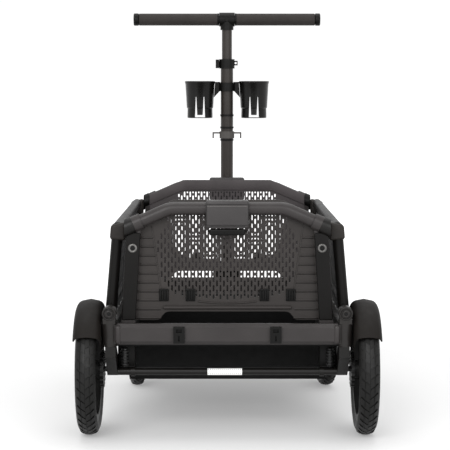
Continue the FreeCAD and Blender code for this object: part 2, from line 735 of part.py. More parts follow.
# ---------------------------------------------------------------- brake

def brake_bar():
    """Foot bar on two arms that turn on the rear axle."""
    y, z = REAR_AXLE
    half = S.leg_inboard - S.bar_gap
    foot = mid_rod("foot_bar", S.bar_radius, "X", (0, y - S.bar_back, z), half * 2)
    pieces = [foot]
    for side, sign in SIDES:
        x = (half - S.bar_arm / 2) * sign
        pieces.append(mid_rod(side + "_arm_boss", S.axle_radius * 2, "X", (x, y, z), S.bar_arm))
        pieces.append(block(side + "_arm", (x, y - S.bar_back / 2, z), (S.bar_arm, S.bar_back, S.bar_radius * 2)))
        pieces.append(mid_rod(side + "_collar", S.collar_radius, "X",
                              (S.collar_outboard * sign, y - S.bar_back, z), S.collar_wide))
    bore = mid_rod("arm_bore", S.axle_radius + S.turn_gap, "X", (0, y, z), half * 3)
    node(cut("brake_bar_cut", fuse("brake_bar_whole", *pieces), bore), "brake_bar")


def brake_pins():
    y, z = brake_pin_spot()
    for side, sign in SIDES:
        x = (S.pin_outboard - S.pin_long / 2) * sign
        node(mid_rod(side + "_pin_rod", S.pin_radius, "X", (x, y, z), S.pin_long), side + "_brake_pin")


# ---------------------------------------------------------------- wheels

def tyre(name, radius, seat, wide, at, turn):
    """A tyre with a crowned tread."""
    body = new_body(name + "_body")
    sketch = new_sketch(body, name + "_section", "XZ_Plane")
    half = wide / 2
    outline(sketch, [(-half * 0.8, seat), (half * 0.8, seat), (half, seat + half * 0.35),
                     (half, radius - half * 0.5), (half * 0.62, radius - half * 0.1),
                     (half * 0.2, radius), (-half * 0.2, radius), (-half * 0.62, radius - half * 0.1),
                     (-half, radius - half * 0.5), (-half, seat + half * 0.35)])
    revolve(body, sketch)
    place(body, at, Z_AXIS, turn)
    node(body, name)


def spoked_rim(name, seat, wide, hub, bore, inboard, outboard, windows, at, turn):
    """A rim, its hub and the spokes left between its windows."""
    body = new_body(name + "_body")
    sketch = new_sketch(body, name + "_section", "XZ_Plane")
    half, ring, web = wide * 0.4, seat - S.rim_ring_deep, S.rim_web / 2
    outline(sketch, [(-inboard, bore), (outboard, bore), (outboard, hub), (web, hub), (web, ring),
                     (half, ring), (half, seat), (-half, seat), (-half, ring), (-web, ring),
                     (-web, hub), (-inboard, hub)])
    revolve(body, sketch)
    window = new_sketch(body, name + "_window", "YZ_Plane")
    low, high = hub + 5, ring - 4
    outline(window, [(low, -low * 0.18), (high, -high * 0.22), (high, high * 0.22), (low, low * 0.18)])
    opening = pocket(body, window, wide, midplane=True)
    ring_pattern(body, opening, window, windows)
    place(body, at, Z_AXIS, turn)
    node(body, name)


def rotor(name, at, turn):
    """A toothed brake disc, its gaps centred on the fore and aft line."""
    body = new_body(name + "_body")
    sketch = new_sketch(body, name + "_disc", "YZ_Plane")
    circle(sketch, (0, 0), S.rotor_radius)
    circle(sketch, (0, 0), S.axle_radius + S.turn_gap)
    pad(body, sketch, S.rotor_thick)
    gap = new_sketch(body, name + "_gap", "YZ_Plane")
    half, reach = S.rotor_gap_wide / 2, S.rotor_radius + 2
    floor_at = S.rotor_radius - S.rotor_gap_deep
    outline(gap, [(floor_at, -half), (reach, -half), (reach, half), (floor_at, half)])
    slot = pocket(body, gap, S.rotor_thick * 3, midplane=True)
    ring_pattern(body, slot, gap, S.rotor_teeth)
    place(body, at, Z_AXIS, turn)
    node(body, name)


def rear_wheels():
    bore = S.axle_radius + S.turn_gap
    inboard = S.rear_half_track - S.rotor_outboard - S.rotor_thick
    for side, sign in SIDES:
        at, turn = (S.rear_half_track * sign, *REAR_AXLE), 0 if sign > 0 else 180
        tyre(side + "_rear_tyre", S.rear_wheel_radius, S.rear_rim_radius, S.rear_tyre_wide, at, turn)
        spoked_rim(side + "_rear_rim", S.rear_rim_radius, S.rear_tyre_wide, S.hub_radius, bore,
                   inboard, S.hub_outboard, S.rear_spokes, at, turn)
        rotor(side + "_brake_rotor", (S.rotor_outboard * sign, *REAR_AXLE), turn)


def caster_fork(side, at):
    """Fork with its swivel stem, in the caster's own frame: stem at the origin, axle behind."""
    half = S.front_tyre_wide / 2 + S.fork_gap
    axle, top = S.front_wheel_radius, caster_crown_top()
    body = new_body(side + "_fork")
    sketch = new_sketch(body, side + "_fork_arm", "YZ_Plane")
    boss = S.front_hub_radius
    outline(sketch, [(-S.caster_trail - boss, axle + boss / 2), (-S.caster_trail - boss, axle - boss / 2),
                     (-S.caster_trail - boss / 2, axle - boss), (-S.caster_trail + boss / 2, axle - boss),
                     (-S.caster_trail + boss, axle - boss / 2), (20, top - S.crown_thick), (20, top),
                     (-S.caster_trail / 2 - 5, top)])
    pad(body, sketch, (half + S.fork_thick) * 2, midplane=True)
    gap = new_sketch(body, side + "_fork_gap", "XZ_Plane")
    under = top - S.crown_thick
    outline(gap, [(-half, -10), (half, -10), (half, under), (-half, under)])
    pocket(body, gap, S.caster_trail * 4, midplane=True)
    hole = new_sketch(body, side + "_fork_hole", "YZ_Plane")
    circle(hole, (-S.caster_trail, axle), S.front_axle_radius)
    pocket(body, hole, half * 4, midplane=True)
    stem = new_sketch(body, side + "_fork_stem", "XY_Plane", top)
    circle(stem, (0, 0), S.stem_radius)
    pad(body, stem, S.stem_long - 1)
    place(body, at, Z_AXIS, S.caster_turn)
    node(body, side + "_caster_fork")


def caster_axle(side, at):
    half = S.front_tyre_wide / 2 + S.fork_gap + S.fork_thick
    y, z = -S.caster_trail, S.front_wheel_radius
    shaft = mid_rod(side + "_axle_shank", S.front_axle_radius, "X", (0, y, z), half * 2)
    heads = [mid_rod(f"{side}_axle_{where}", S.front_axle_radius * 1.8, "X",
                     ((half + 2.5) * sign, y, z), 5) for where, sign in SIDES]
    bolt = fuse(side + "_caster_axle", shaft, *heads)
    place(bolt, at, Z_AXIS, S.caster_turn)
    node(bolt, side + "_caster_axle")


def front_wheels():
    half = S.front_tyre_wide / 2 + S.fork_gap - S.seat_gap
    swing_x, swing_y = S.caster_trail * sine(S.caster_turn), S.caster_trail * cosine(S.caster_turn)
    for side, sign in SIDES:
        at = (S.caster_side * sign, S.caster_front, 0)
        caster_fork(side, at)
        caster_axle(side, at)
        hub_at = (S.caster_side * sign + swing_x, S.caster_front - swing_y, S.front_wheel_radius)
        tyre(side + "_front_tyre", S.front_wheel_radius, S.front_rim_radius, S.front_tyre_wide,
             hub_at, S.caster_turn)
        spoked_rim(side + "_front_rim", S.front_rim_radius, S.front_tyre_wide, S.front_hub_radius,
                   S.front_axle_radius + S.turn_gap, half, half, S.rear_spokes / 2, hub_at, S.caster_turn)


# ---------------------------------------------------------------- end walls

def arch_points():
    return [(-S.arch_half, S.arch_end_high), (-S.arch_flat, S.arch_high),
            (S.arch_flat, S.arch_high), (S.arch_half, S.arch_end_high)]


def bent_path(points, bend, depth):
    """Straight runs joined by tangent arcs, in a plane at the given depth."""
    spots = [Vector(a.value, depth, b.value) for a, b in points]
    edges, start = [], spots[0]
    for before, corner, after in zip(spots, spots[1:], spots[2:]):
        back, ahead = (before - corner).normalize(), (after - corner).normalize()
        half = back.getAngle(ahead) / 2
        reach = bend / math.tan(half)
        inward = (back + ahead).normalize()
        middle = corner + inward * (bend / math.sin(half) - bend)
        entry, leave = corner + back * reach, corner + ahead * reach
        edges += [Part.LineSegment(start, entry).toShape(), Part.Arc(entry, middle, leave).toShape()]
        start = leave
    edges.append(Part.LineSegment(start, spots[-1]).toShape())
    return Part.Wire(edges)


def arch_tube(name):
    """The arched top tube, swept along runs and arcs that primitives can't make."""
    path = bent_path(arch_points(), S.arch_bend.value, -S.arch_set_back.value)
    start = path.Vertexes[0].Point
    heading = path.Edges[0].tangentAt(0)
    ring = Part.Wire(Part.Circle(start, heading, S.arch_radius.value).toShape())
    feature = doc.addObject("Part::Feature", name)
    feature.Shape = path.makePipeShell([ring], True, False).common(arch_room())
    return feature


def arch_room():
    """The space between the side frames, in front of the panel, that the top tube keeps to."""
    half, back = S.arch_trim.value, S.post_deep.value / 2
    deep, high = S.arch_set_back.value + S.sleeve_radius.value + back, S.arch_high.value
    return Part.makeBox(half * 2, deep, high * 2, Vector(-half, back - deep, 0))


def wall_frame(end, at, turn):
    """Arched top tube on two posts, with plastic sleeves over the tube's ends."""
    pieces = [arch_tube(end + "_arch")]
    half_wide, half_deep = S.post_wide / 2, S.post_deep / 2
    for side, sign in SIDES:
        body = new_body(f"{end}_{side}_post")
        sketch = new_sketch(body, f"{end}_{side}_post_outline", "XZ_Plane", -half_deep)
        foot, head = S.post_foot, S.post_head
        outline(sketch, [((foot - half_wide) * sign, -S.lug_drop), ((foot + half_wide) * sign, -S.lug_drop),
                         ((foot + half_wide) * sign, S.lug_drop), ((head + half_wide) * sign, S.post_tall),
                         ((head - half_wide) * sign, S.post_tall), ((foot - half_wide) * sign, S.lug_drop)])
        pad(body, sketch, S.post_deep)
        pieces.append(body)
        pieces.append(arch_sleeve(f"{end}_{side}_sleeve", sign))
    whole = fuse(end + "_wall_whole", *pieces)
    bore = mid_rod(end + "_wall_bore", S.bolt_radius + S.turn_gap, "X", (0, 0, 0),
                   (S.post_foot + S.post_wide) * 2)
    frame = cut(end + "_wall_frame", whole, bore)
    place(frame, at, Z_AXIS, turn)
    node(frame, end + "_wall_frame")


def arch_sleeve(name, sign):
    """A sleeve along the slope of the tube's end, cut off square at the seam with the side."""
    fall = math.atan2(S.arch_high.value - S.arch_end_high.value, S.arch_half.value - S.arch_flat.value)
    spot = Vector(S.arch_half.value * sign, -S.arch_set_back.value, S.arch_end_high.value)
    heading = Vector(-sign * math.cos(fall), 0, math.sin(fall))
    over = S.sleeve_radius.value
    long = S.sleeve_long.value / math.cos(fall)
    feature = doc.addObject("Part::Feature", name)
    feature.Shape = Part.makeCylinder(over, long + over, spot - heading * over, heading).common(arch_room())
    return feature


def wall_panel(end, at, turn):
    """Panel on the cabin side of the posts, its rim just over the top tube, notched at its foot."""
    body = new_body(end + "_panel_body")
    front = S.post_deep / 2 + S.slide_gap
    sketch = new_sketch(body, end + "_panel_outline", "XZ_Plane", -front - S.panel_thick)
    fall = math.atan2(S.arch_high.value - S.arch_end_high.value, S.arch_half.value - S.arch_flat.value)
    rise = S.arch_radius + S.panel_rim
    slope = (S.arch_high - S.arch_end_high) / (S.arch_half - S.arch_flat)
    half = S.panel_foot_half
    top = S.arch_high + rise
    shoulder = S.arch_high - (half - S.arch_flat) * slope + rise / math.cos(fall)
    flat = S.arch_flat - rise * math.tan(fall / 2)
    foot, notch = S.panel_foot, S.panel_foot + S.notch_tall
    outline(sketch, [(-half, foot), (-S.notch_foot_half, foot), (-S.notch_head_half, notch),
                     (S.notch_head_half, notch), (S.notch_foot_half, foot), (half, foot),
                     (half, shoulder), (flat, top), (-flat, top), (-half, shoulder)])
    pad(body, sketch, S.panel_thick)
    place(body, at, Z_AXIS, turn)
    node(body, end + "_wall_panel")


def latch_box(end, at, turn):
    """Box round the middle of the top tube, with two ears for its lever."""
    low, high = S.latch_low, S.latch_low + S.latch_tall
    body = box(end + "_latch_block", [(-S.latch_wide / 2, S.latch_wide / 2),
                                      (-S.latch_out, S.post_deep / 2), (low, high)])
    pieces = [body]
    centre = lever_middle()
    for side, sign in SIDES:
        x = (S.lever_wide / 2 + S.seat_gap + S.ear_thick / 2) * sign
        drop = S.lever_drop + S.lever_pivot * 2
        pieces.append(block(f"{end}_{side}_ear", (x, centre, low - drop / 2),
                            (S.ear_thick, S.lever_thick, drop)))
    hole = mid_rod(end + "_latch_hole", S.arch_radius + S.turn_gap, "X", (0, -S.arch_set_back, S.arch_high),
                   S.latch_wide * 2)
    bore = mid_rod(end + "_ear_bore", S.lever_pin + S.turn_gap, "X",
                   (0, centre, low - S.lever_drop - S.lever_pivot), S.latch_wide * 2)
    whole = cut(end + "_latch_box", fuse(end + "_latch_whole", *pieces), hole, bore)
    place(whole, at, Z_AXIS, turn)
    node(whole, end + "_latch_box")


def lever_middle():
    return -S.latch_out + S.lever_thick / 2 + 1


def latch_lever(end, at, turn):
    top = S.latch_low - S.lever_drop
    centre = lever_middle()
    plate = block(end + "_lever_plate", (0, centre, top - S.lever_tall / 2),
                  (S.lever_wide, S.lever_thick, S.lever_tall))
    pivot = mid_rod(end + "_lever_pivot", S.lever_pin, "X", (0, centre, top - S.lever_pivot),
                    S.lever_wide + (S.seat_gap + S.ear_thick) * 2)
    lever = fuse(end + "_lever_whole", plate, pivot)
    place(lever, at, Z_AXIS, turn)
    node(lever, end + "_latch_lever")


def end_walls():
    for end, facing in ENDS:
        at, turn = (0, S.hinge_end * facing, S.hinge_high), 0 if facing < 0 else 180
        wall_frame(end, at, turn)
        wall_panel(end, at, turn)
        latch_box(end, at, turn)
        latch_lever(end, at, turn)


# ---------------------------------------------------------------- sides

def side_frame_pieces(tag):
    """Tube frame of a side, upright, with its fold axis at the origin."""
    end, radius = S.side_post_end, S.side_tube
    pieces = [mid_rod(tag + "_top", radius, "Y", (0, 0, S.side_tall), end * 2),
              mid_rod(tag + "_sill", S.side_sill_radius, "Y", (0, 0, S.side_sill), end * 2)]
    reach = S.corner_end - S.knuckle_deep / 2 - S.seat_gap
    for where, facing in ENDS:
        pieces.append(rod(f"{tag}_{where}_post", radius, "Z", (0, end * facing, 0), S.side_tall))
        pieces.append(mid_rod(f"{tag}_{where}_eye", radius, "Y",
                              (0, (reach + end - radius) / 2 * facing, 0), reach - end + radius))
        knob = doc.addObject("Part::Sphere", f"{tag}_{where}_bend")
        bind(knob, Radius=radius)
        pieces.append(place(knob, (0, end * facing, S.side_tall)))
    return pieces


def side_frames():
    for side, sign in SIDES:
        at = (S.corner_side * sign, 0, S.knuckle_high)
        axis = Vector(0, -sign, 0)
        bore = mid_rod(side + "_frame_bore", S.bolt_radius + S.turn_gap, "Y", (0, 0, 0), S.corner_end * 2)
        frame = cut(side + "_side_frame", fuse(side + "_frame_whole", *side_frame_pieces(side + "_frame")), bore)
        place(frame, at, axis, S.side_lean)
        node(frame, side + "_side_frame")
        tubes = fuse(side + "_cap_core", *side_frame_pieces(side + "_core"))
        caps = []
        high = S.side_tall + S.side_tube + S.cap_proud
        far = S.side_post_end + S.side_tube + S.cap_proud
        for where, facing in ENDS:
            block_cap = block(f"{side}_{where}_cap_block", (0, (far - S.cap_long / 2) * facing, high - S.cap_tall / 2),
                              (S.cap_half * 2, S.cap_long, S.cap_tall))
            caps.append(cut(f"{side}_{where}_cap", block_cap, tubes))
        both = group(side + "_corner_caps", *caps)
        place(both, at, axis, S.side_lean)
        node(both, side + "_corner_caps")
        end = S.side_post_end - S.side_tube - S.seat_gap
        low = S.side_sill + S.side_sill_radius + S.seat_gap
        cloth = box(side + "_cloth", [(-S.cloth_thick / 2, S.cloth_thick / 2), (-end, end),
                                      (low, S.side_tall - S.side_tube - S.seat_gap)])
        corners = [block(f"{side}_{where}_cloth_corner",
                         (0, (far - S.cap_long / 2) * facing, high - S.cap_tall / 2),
                         (S.cap_half * 3, S.cap_long + S.seat_gap * 2, S.cap_tall + S.seat_gap * 2))
                   for where, facing in ENDS]
        panel = cut(side + "_side_panel", cloth, *corners)
        place(panel, at, axis, S.side_lean)
        node(panel, side + "_side_panel")


# ---------------------------------------------------------------- handle

def mast():
    y = S.mast_front
    low = S.pivot_high - S.mast_foot
    outer = rod("mast_outer", S.mast_radius, "Z", (0, y, low), S.mast_top - low)
    bore = rod("mast_bore", S.inner_radius + S.slide_gap, "Z", (0, y, S.bore_low), S.mast_top - S.bore_low)
    pivot = mid_rod("mast_pivot_hole", S.tilt_pin_radius + S.turn_gap, "X", (0, y, S.pivot_high),
                    S.mast_radius * 3)
    node(cut("mast_tube_cut", outer, bore, pivot), "mast_tube")
    rings = [tube(f"pad_{index}", S.pad_radius, S.mast_radius, "Z",
                  (0, y, S.pad_low + S.pad_step * index), S.pad_tall) for index in range(3)]
    node(group("mast_pads", *rings), "mast_pads")


def telescope():
    y, top = S.mast_front, S.grip_high
    node(rod("inner_tube_rod", S.inner_radius, "Z", (0, y, S.inner_low), top - S.handle_tube - S.inner_low),
         "inner_tube")
    drum = mid_rod("hub_drum", S.hub_round, "X", (0, y, top), S.hub_half * 2)
    skirt = rod("hub_skirt_rod", S.hub_round - 1, "Z", (0, y, top - S.hub_skirt), S.hub_skirt)
    socket = rod("hub_socket", S.inner_radius, "Z", (0, y, top - S.hub_skirt - 1),
                 S.hub_skirt + 1 - S.handle_tube)
    passage = mid_rod("hub_passage", S.handle_tube, "X", (0, y, top), S.hub_half * 3)
    seat = rod("button_seat", S.button_radius + S.slide_gap, "Y",
               (0, y - S.hub_round - 1, top), S.hub_round - S.handle_tube + 1)
    node(cut("handle_hub_cut", fuse("hub_whole", drum, skirt), socket, passage, seat), "handle_hub")
    inner = S.hub_round - S.handle_tube - S.button_proud - S.slide_gap
    node(rod("hub_button_rod", S.button_radius, "Y", (0, y - S.hub_round - S.button_proud, top),
             S.button_proud + inner), "hub_button")
    node(mid_rod("handle_bar_rod", S.handle_tube, "X", (0, y, top), (S.bar_half - 4) * 2), "handle_bar")
    grips = []
    for side, sign in SIDES:
        long = S.bar_half - S.hub_half - S.seat_gap
        body = mid_rod(side + "_grip_rod", S.grip_radius, "X", ((S.bar_half - long / 2) * sign, y, top), long)
        core = mid_rod(side + "_grip_core", S.handle_tube, "X", (0, y, top), (S.bar_half - 4) * 2)
        grips.append(cut(side + "_grip", body, core))
    node(group("handle_grips", *grips), "handle_grips")


def clamp():
    """Split collar on top of the mast, with a lug for its lever and an eye on the other side."""
    y, low = S.mast_front, S.mast_top
    ring = rod("clamp_ring", S.clamp_radius, "Z", (0, y, low), S.clamp_tall)
    lug = box("clamp_lug", [(-S.clamp_radius - S.clamp_lever_wide, -S.inner_radius - 2),
                            (y + 10, y + 18), (low + 4, low + S.clamp_tall - 4)])
    eye = box("clamp_eye", [(S.inner_radius + 2, S.clamp_radius + 8), (y - 4, y + 4), (low + 8, low + 20)])
    eye_hole = mid_rod("clamp_eye_hole", size(3), "Y", (S.clamp_radius + 3, y, low + 14), size(20))
    bore = rod("clamp_bore", S.inner_radius + S.slide_gap, "Z", (0, y, low - 1), S.clamp_tall + 2)
    pin_x, pin_y = clamp_pivot()
    pin_hole = rod("clamp_pin_hole", size(2) + S.turn_gap, "Z", (pin_x, pin_y, low), S.clamp_tall)
    node(cut("clamp_collar_cut", fuse("clamp_whole", ring, lug, eye), eye_hole, bore, pin_hole), "clamp_collar")
    lever_x = (pin_x - S.clamp_lever_wide / 2, pin_x + S.clamp_lever_wide / 2)
    arm = box("clamp_arm", [lever_x, (pin_y - S.clamp_lever_long, pin_y + 4), (low + 1, low + S.clamp_tall - 1)])
    slot = box("clamp_arm_slot", [(pin_x - 20, pin_x + 20), (pin_y - 6.5, y + 30),
                                  (low + 4 - S.seat_gap, low + S.clamp_tall - 4 + S.seat_gap)])
    pin = rod("clamp_pin", size(2), "Z", (pin_x, pin_y, low + 1), S.clamp_tall - 2)
    node(fuse("clamp_lever_whole", cut("clamp_arm_cut", arm, slot), pin), "clamp_lever")


def clamp_pivot():
    return -S.clamp_radius - S.clamp_lever_wide / 2 - S.seat_gap, S.mast_front + 14


def cup(side, sign):
    body = new_body(side + "_cup_body")
    sketch = new_sketch(body, side + "_cup_section", "XZ_Plane")
    foot, mouth, wall, tall = S.cup_foot_radius, S.cup_mouth_radius, S.cup_wall, S.cup_tall
    step = S.cup_step_high
    slope = (mouth - foot) / tall
    outline(sketch, [(0, 0), (foot, 0), (foot + slope * step - S.cup_step, step), (foot + slope * step, step),
                     (mouth, tall), (mouth - wall, tall), (foot - wall, wall), (0, wall)])
    revolve_upright(body, sketch)
    slit = new_sketch(body, side + "_cup_slit", "XZ_Plane")
    half = S.cup_slot_half
    high = S.cup_slot_tall
    outline(slit, [(-half, 1), (-half * 0.85, high), (-half * 0.68, high), (-half * 0.5, 8),
                   (half * 0.5, 8), (half * 0.68, high), (half * 0.85, high), (half, 1)])
    pocket(body, slit, mouth + 5, reverse=True)
    place(body, (S.cup_side * sign, S.mast_front, S.cup_low))
    node(body, side + "_cup")


def cup_carrier():
    """Collar on the mast with a web to each cup."""
    y, low = S.mast_front, S.carrier_low
    ring = rod("carrier_ring", S.carrier_radius, "Z", (0, y, low), S.carrier_tall)
    pieces = [ring]
    top = S.cup_low + S.cup_tall - 2
    reach = S.cup_side - S.cup_foot_radius
    for side, sign in SIDES:
        body = new_body(side + "_carrier_web")
        sketch = new_sketch(body, side + "_web_outline", "XZ_Plane", -y)
        inner = (S.mast_radius + 1) * sign
        outline(sketch, [(inner, low + 2), (inner, top), (reach * sign, top), (reach * sign, top - S.web_drop)])
        pad(body, sketch, S.web_thick, midplane=True)
        pieces.append(body)
    bore = rod("carrier_bore", S.mast_radius, "Z", (0, y, low - 1), S.carrier_tall + 2)
    room = []
    for side, sign in SIDES:
        cone = doc.addObject("Part::Cone", side + "_cup_room")
        bind(cone, Radius1=S.cup_foot_radius, Radius2=S.cup_mouth_radius, Height=S.cup_tall)
        room.append(place(cone, (S.cup_side * sign, y, S.cup_low)))
    node(cut("cup_carrier_cut", fuse("carrier_whole", *pieces), bore, *room), "cup_carrier")


def release_slider():
    """Collar with two wings that slides up the mast to let the handle fold."""
    y, low = S.mast_front, S.slider_low
    high = low + S.slider_tall
    pieces = [rod("slider_ring", S.slider_radius, "Z", (0, y, low), S.slider_tall)]
    for side, sign in SIDES:
        near, far = S.mast_radius + 1, S.wing_half
        pieces.append(block(side + "_wing", ((near + far) / 2 * sign, y, high - S.wing_thick / 2 - 2),
                            (far - near, S.wing_deep, S.wing_thick)))
        pieces.append(block(side + "_wing_tip", ((far - S.wing_thick / 2) * sign, y, high - 2 - S.wing_tip / 2),
                            (S.wing_thick, S.wing_deep, S.wing_tip)))
    bore = rod("slider_bore", S.mast_radius + S.slide_gap, "Z", (0, y, low - 1), S.slider_tall + 2)
    node(cut("release_slider_cut", fuse("slider_whole", *pieces), bore), "release_slider")


def build():
    """Build every sub-part in order."""
    for end, facing in ENDS:
        crossbar(end, facing)
        corner_castings(end, facing)
    lower_rails()
    rear_legs()
    rear_axle()
    floor_deck()
    footwell_tub()
    crossbar_clips()
    wall_hinges()
    side_hinge_bolts()
    mudguards()
    handle_bracket()
    caster_housings()
    brake_bar()
    brake_pins()
    rear_wheels()
    front_wheels()
    end_walls()
    side_frames()
    mast()
    telescope()
    clamp()
    for side, sign in SIDES:
        cup(side, sign)
    cup_carrier()
    release_slider()
    doc.recompute()


def check():
    """Stop if any object failed or any sub-part has no sound shape."""
    failed = [obj.Name for obj in doc.Objects if "Invalid" in obj.State or "Error" in obj.State]
    unsound = [obj.Label for obj in nodes if obj.Shape.isNull() or not obj.Shape.isValid()]
    loose = [obj.Label for obj in nodes if not obj.Shape.Solids]
    if failed or unsound or loose:
        raise RuntimeError(f"failed {failed}, unsound {unsound}, without a solid {loose}")


def write():
    """Write each sub-part to its own file."""
    os.makedirs("parts", exist_ok=True)
    for obj in nodes:
        obj.Shape.exportStep(os.path.join("parts", obj.Label + ".step"))
    print(len(nodes), "nodes,", sum(len(obj.Shape.Solids) for obj in nodes), "solids")


build()
check()
write()
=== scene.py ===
"""Looks of the pet wagon stroller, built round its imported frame: finishes, moulded panels, treads, cloth."""

import json
import logging
import math
from collections.abc import Iterable, Sequence
from dataclasses import dataclass
from enum import Enum

import bpy
from mathutils import Matrix, Vector

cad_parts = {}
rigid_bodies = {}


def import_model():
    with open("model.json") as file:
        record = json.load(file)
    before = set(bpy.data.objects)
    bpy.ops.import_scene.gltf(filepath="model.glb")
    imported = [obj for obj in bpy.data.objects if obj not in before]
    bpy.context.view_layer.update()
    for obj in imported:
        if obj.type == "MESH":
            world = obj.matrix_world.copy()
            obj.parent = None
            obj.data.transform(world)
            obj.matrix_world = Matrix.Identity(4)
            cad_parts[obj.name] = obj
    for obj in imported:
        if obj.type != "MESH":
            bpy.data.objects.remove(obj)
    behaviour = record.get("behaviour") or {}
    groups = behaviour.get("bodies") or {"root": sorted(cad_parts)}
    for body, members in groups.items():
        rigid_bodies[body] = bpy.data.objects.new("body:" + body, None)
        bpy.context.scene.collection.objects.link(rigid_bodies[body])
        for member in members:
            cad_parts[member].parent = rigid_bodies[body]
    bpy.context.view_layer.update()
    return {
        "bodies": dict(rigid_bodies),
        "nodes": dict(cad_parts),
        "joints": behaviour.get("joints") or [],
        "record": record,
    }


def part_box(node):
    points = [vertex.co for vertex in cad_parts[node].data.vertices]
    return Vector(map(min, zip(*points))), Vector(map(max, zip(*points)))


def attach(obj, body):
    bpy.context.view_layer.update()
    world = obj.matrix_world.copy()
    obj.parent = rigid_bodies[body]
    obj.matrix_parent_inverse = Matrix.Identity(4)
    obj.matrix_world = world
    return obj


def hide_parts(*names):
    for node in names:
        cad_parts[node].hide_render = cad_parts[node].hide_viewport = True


log = logging.getLogger("wagon")
MM = 0.001
Point = tuple[float, float, float]
Colour = tuple[float, float, float]
TURN_ROUND = Matrix.Rotation(math.pi, 4, "Z")
MIRROR_X = Matrix.Scale(-1, 4, Vector((1, 0, 0)))


AXIS_TURNS = {"X": (0, math.pi / 2, 0), "Y": (math.pi / 2, 0, 0), "Z": (0, 0, 0)}
SIDE_LEAN = math.radians(5)
SIDE_HINGE = Vector((247 * MM, 0, 270 * MM))
SIDE_TURN = Matrix.Translation(SIDE_HINGE) @ Matrix.Rotation(-SIDE_LEAN, 4, "Y")


def corners(box: Sequence[Sequence[float]]) -> tuple[Vector, Vector]:
    """Lowest and highest corner of a box as vectors."""
    low, high = box
    return Vector(low), Vector(high)


# ---------------------------------------------------------------- finishes

class Surface(Enum):
    """Kinds of surface that a finish can have."""

    PAINT = "powder coat"
    MOULDED = "moulded plastic"
    RUBBER = "rubber"
    FOAM = "foam"
    CLOTH = "woven cloth"
    METAL = "metal"
    CARD = "printed card"


@dataclass(frozen=True)
class Finish:
    """What a surface is made of and how it takes the light; grain is per metre, and its depth in mm."""

    name: str
    surface: Surface
    colour: Colour
    rough: float
    metallic: float = 0.0
    coat: float = 0.0
    grain: tuple[float, float] = (900.0, 0.15)
    mottle: float = 0.25
    dust: float = 0.0
    shine: float = 0.22


FRAME_COAT = Finish("frame_coat", Surface.PAINT, (0.0115, 0.0102, 0.0094), 0.4, grain=(1600, 0.05),
                    coat=0.03)
RAIL_COAT = Finish("rail_coat", Surface.PAINT, (0.0255, 0.0225, 0.0222), 0.4, grain=(1600, 0.05), coat=0.03)
# The frame paint about three times darker, for the side frames and the wall post covers. This is painted
# shade, not a different paint.
SHADED_SIDE_COAT = Finish("side_coat_painted_shade", Surface.PAINT, (0.0035, 0.0031, 0.0028), 0.42, grain=(1600, 0.05),
                   shine=0.12)
# The panel plastic about twice as light, as painted light on the front wall's lit inner face.
LIT_FRONT_SKIN = Finish("front_skin_painted_lit", Surface.MOULDED, (0.046, 0.040, 0.041), 0.5, grain=(1500, 0.1))
LEG_COAT = Finish("leg_coat", Surface.PAINT, (0.0034, 0.003, 0.0026), 0.4, grain=(1600, 0.05), coat=0.03)
SLIDER_SKIN = Finish("slider_skin", Surface.MOULDED, (0.06, 0.056, 0.052), 0.4, grain=(1500, 0.08))
MAST_COAT = Finish("mast_coat", Surface.PAINT, (0.0215, 0.0178, 0.0155), 0.4, grain=(1600, 0.05), coat=0.03)
GUARD_SKIN = Finish("guard_skin", Surface.MOULDED, (0.0042, 0.003, 0.0022), 0.6, grain=(1300, 0.12),
                    shine=0.16)
CAP_SKIN = Finish("cap_skin", Surface.MOULDED, (0.012, 0.0098, 0.0083), 0.5, grain=(1300, 0.12))
PANEL_SKIN = Finish("panel_skin", Surface.MOULDED, (0.0225, 0.0192, 0.0178), 0.5, grain=(1500, 0.1))
BOX_SKIN = Finish("latch_skin", Surface.MOULDED, (0.031, 0.0287, 0.0287), 0.4, grain=(1500, 0.08))
BLACK_SKIN = Finish("black_skin", Surface.MOULDED, (0.0022, 0.0021, 0.0019), 0.45, grain=(1400, 0.1),
                    shine=0.14)
CUP_SKIN = Finish("cup_skin", Surface.MOULDED, (0.003, 0.0028, 0.0025), 0.3, grain=(1400, 0.06), shine=0.2)
FLOOR_SKIN = Finish("floor_skin", Surface.MOULDED, (0.0035, 0.0035, 0.0035), 0.75, grain=(700, 0.3))
TREAD = Finish("tread", Surface.RUBBER, (0.0028, 0.0027, 0.0024), 0.48, grain=(1100, 0.15), shine=0.25)
# A pale finish used only for the strip under each latch box's groove. It is a painted highlight line, not the
# plastic's colour.
PAINTED_HIGHLIGHT_SKIN = Finish("painted_highlight_skin", Surface.MOULDED, (0.075, 0.07, 0.068), 0.35, grain=(1500, 0.06))
RIM_SKIN = Finish("rim_skin", Surface.MOULDED, (0.008, 0.0078, 0.0076), 0.4, grain=(1300, 0.15))
STEEL = Finish("dark_steel", Surface.METAL, (0.12, 0.117, 0.113), 0.34, grain=(2200, 0.03), metallic=0.8)
BLACK_STEEL = Finish("black_steel", Surface.METAL, (0.03, 0.03, 0.03), 0.35, grain=(2000, 0.04),
                     metallic=0.6)
SIDE_CLOTH = Finish("side_cloth", Surface.CLOTH, (0.0055, 0.005, 0.0048), 0.88, grain=(950, 0.35),
                    shine=0.15)
TAPE = Finish("edge_tape", Surface.CLOTH, (0.014, 0.0135, 0.0135), 0.7, grain=(1400, 0.3))
GRIP_FOAM = Finish("grip_foam", Surface.FOAM, (0.02, 0.0172, 0.016), 0.7, grain=(1800, 0.25))
LABEL_CARD = Finish("label_card", Surface.CARD, (0.72, 0.72, 0.71), 0.5)


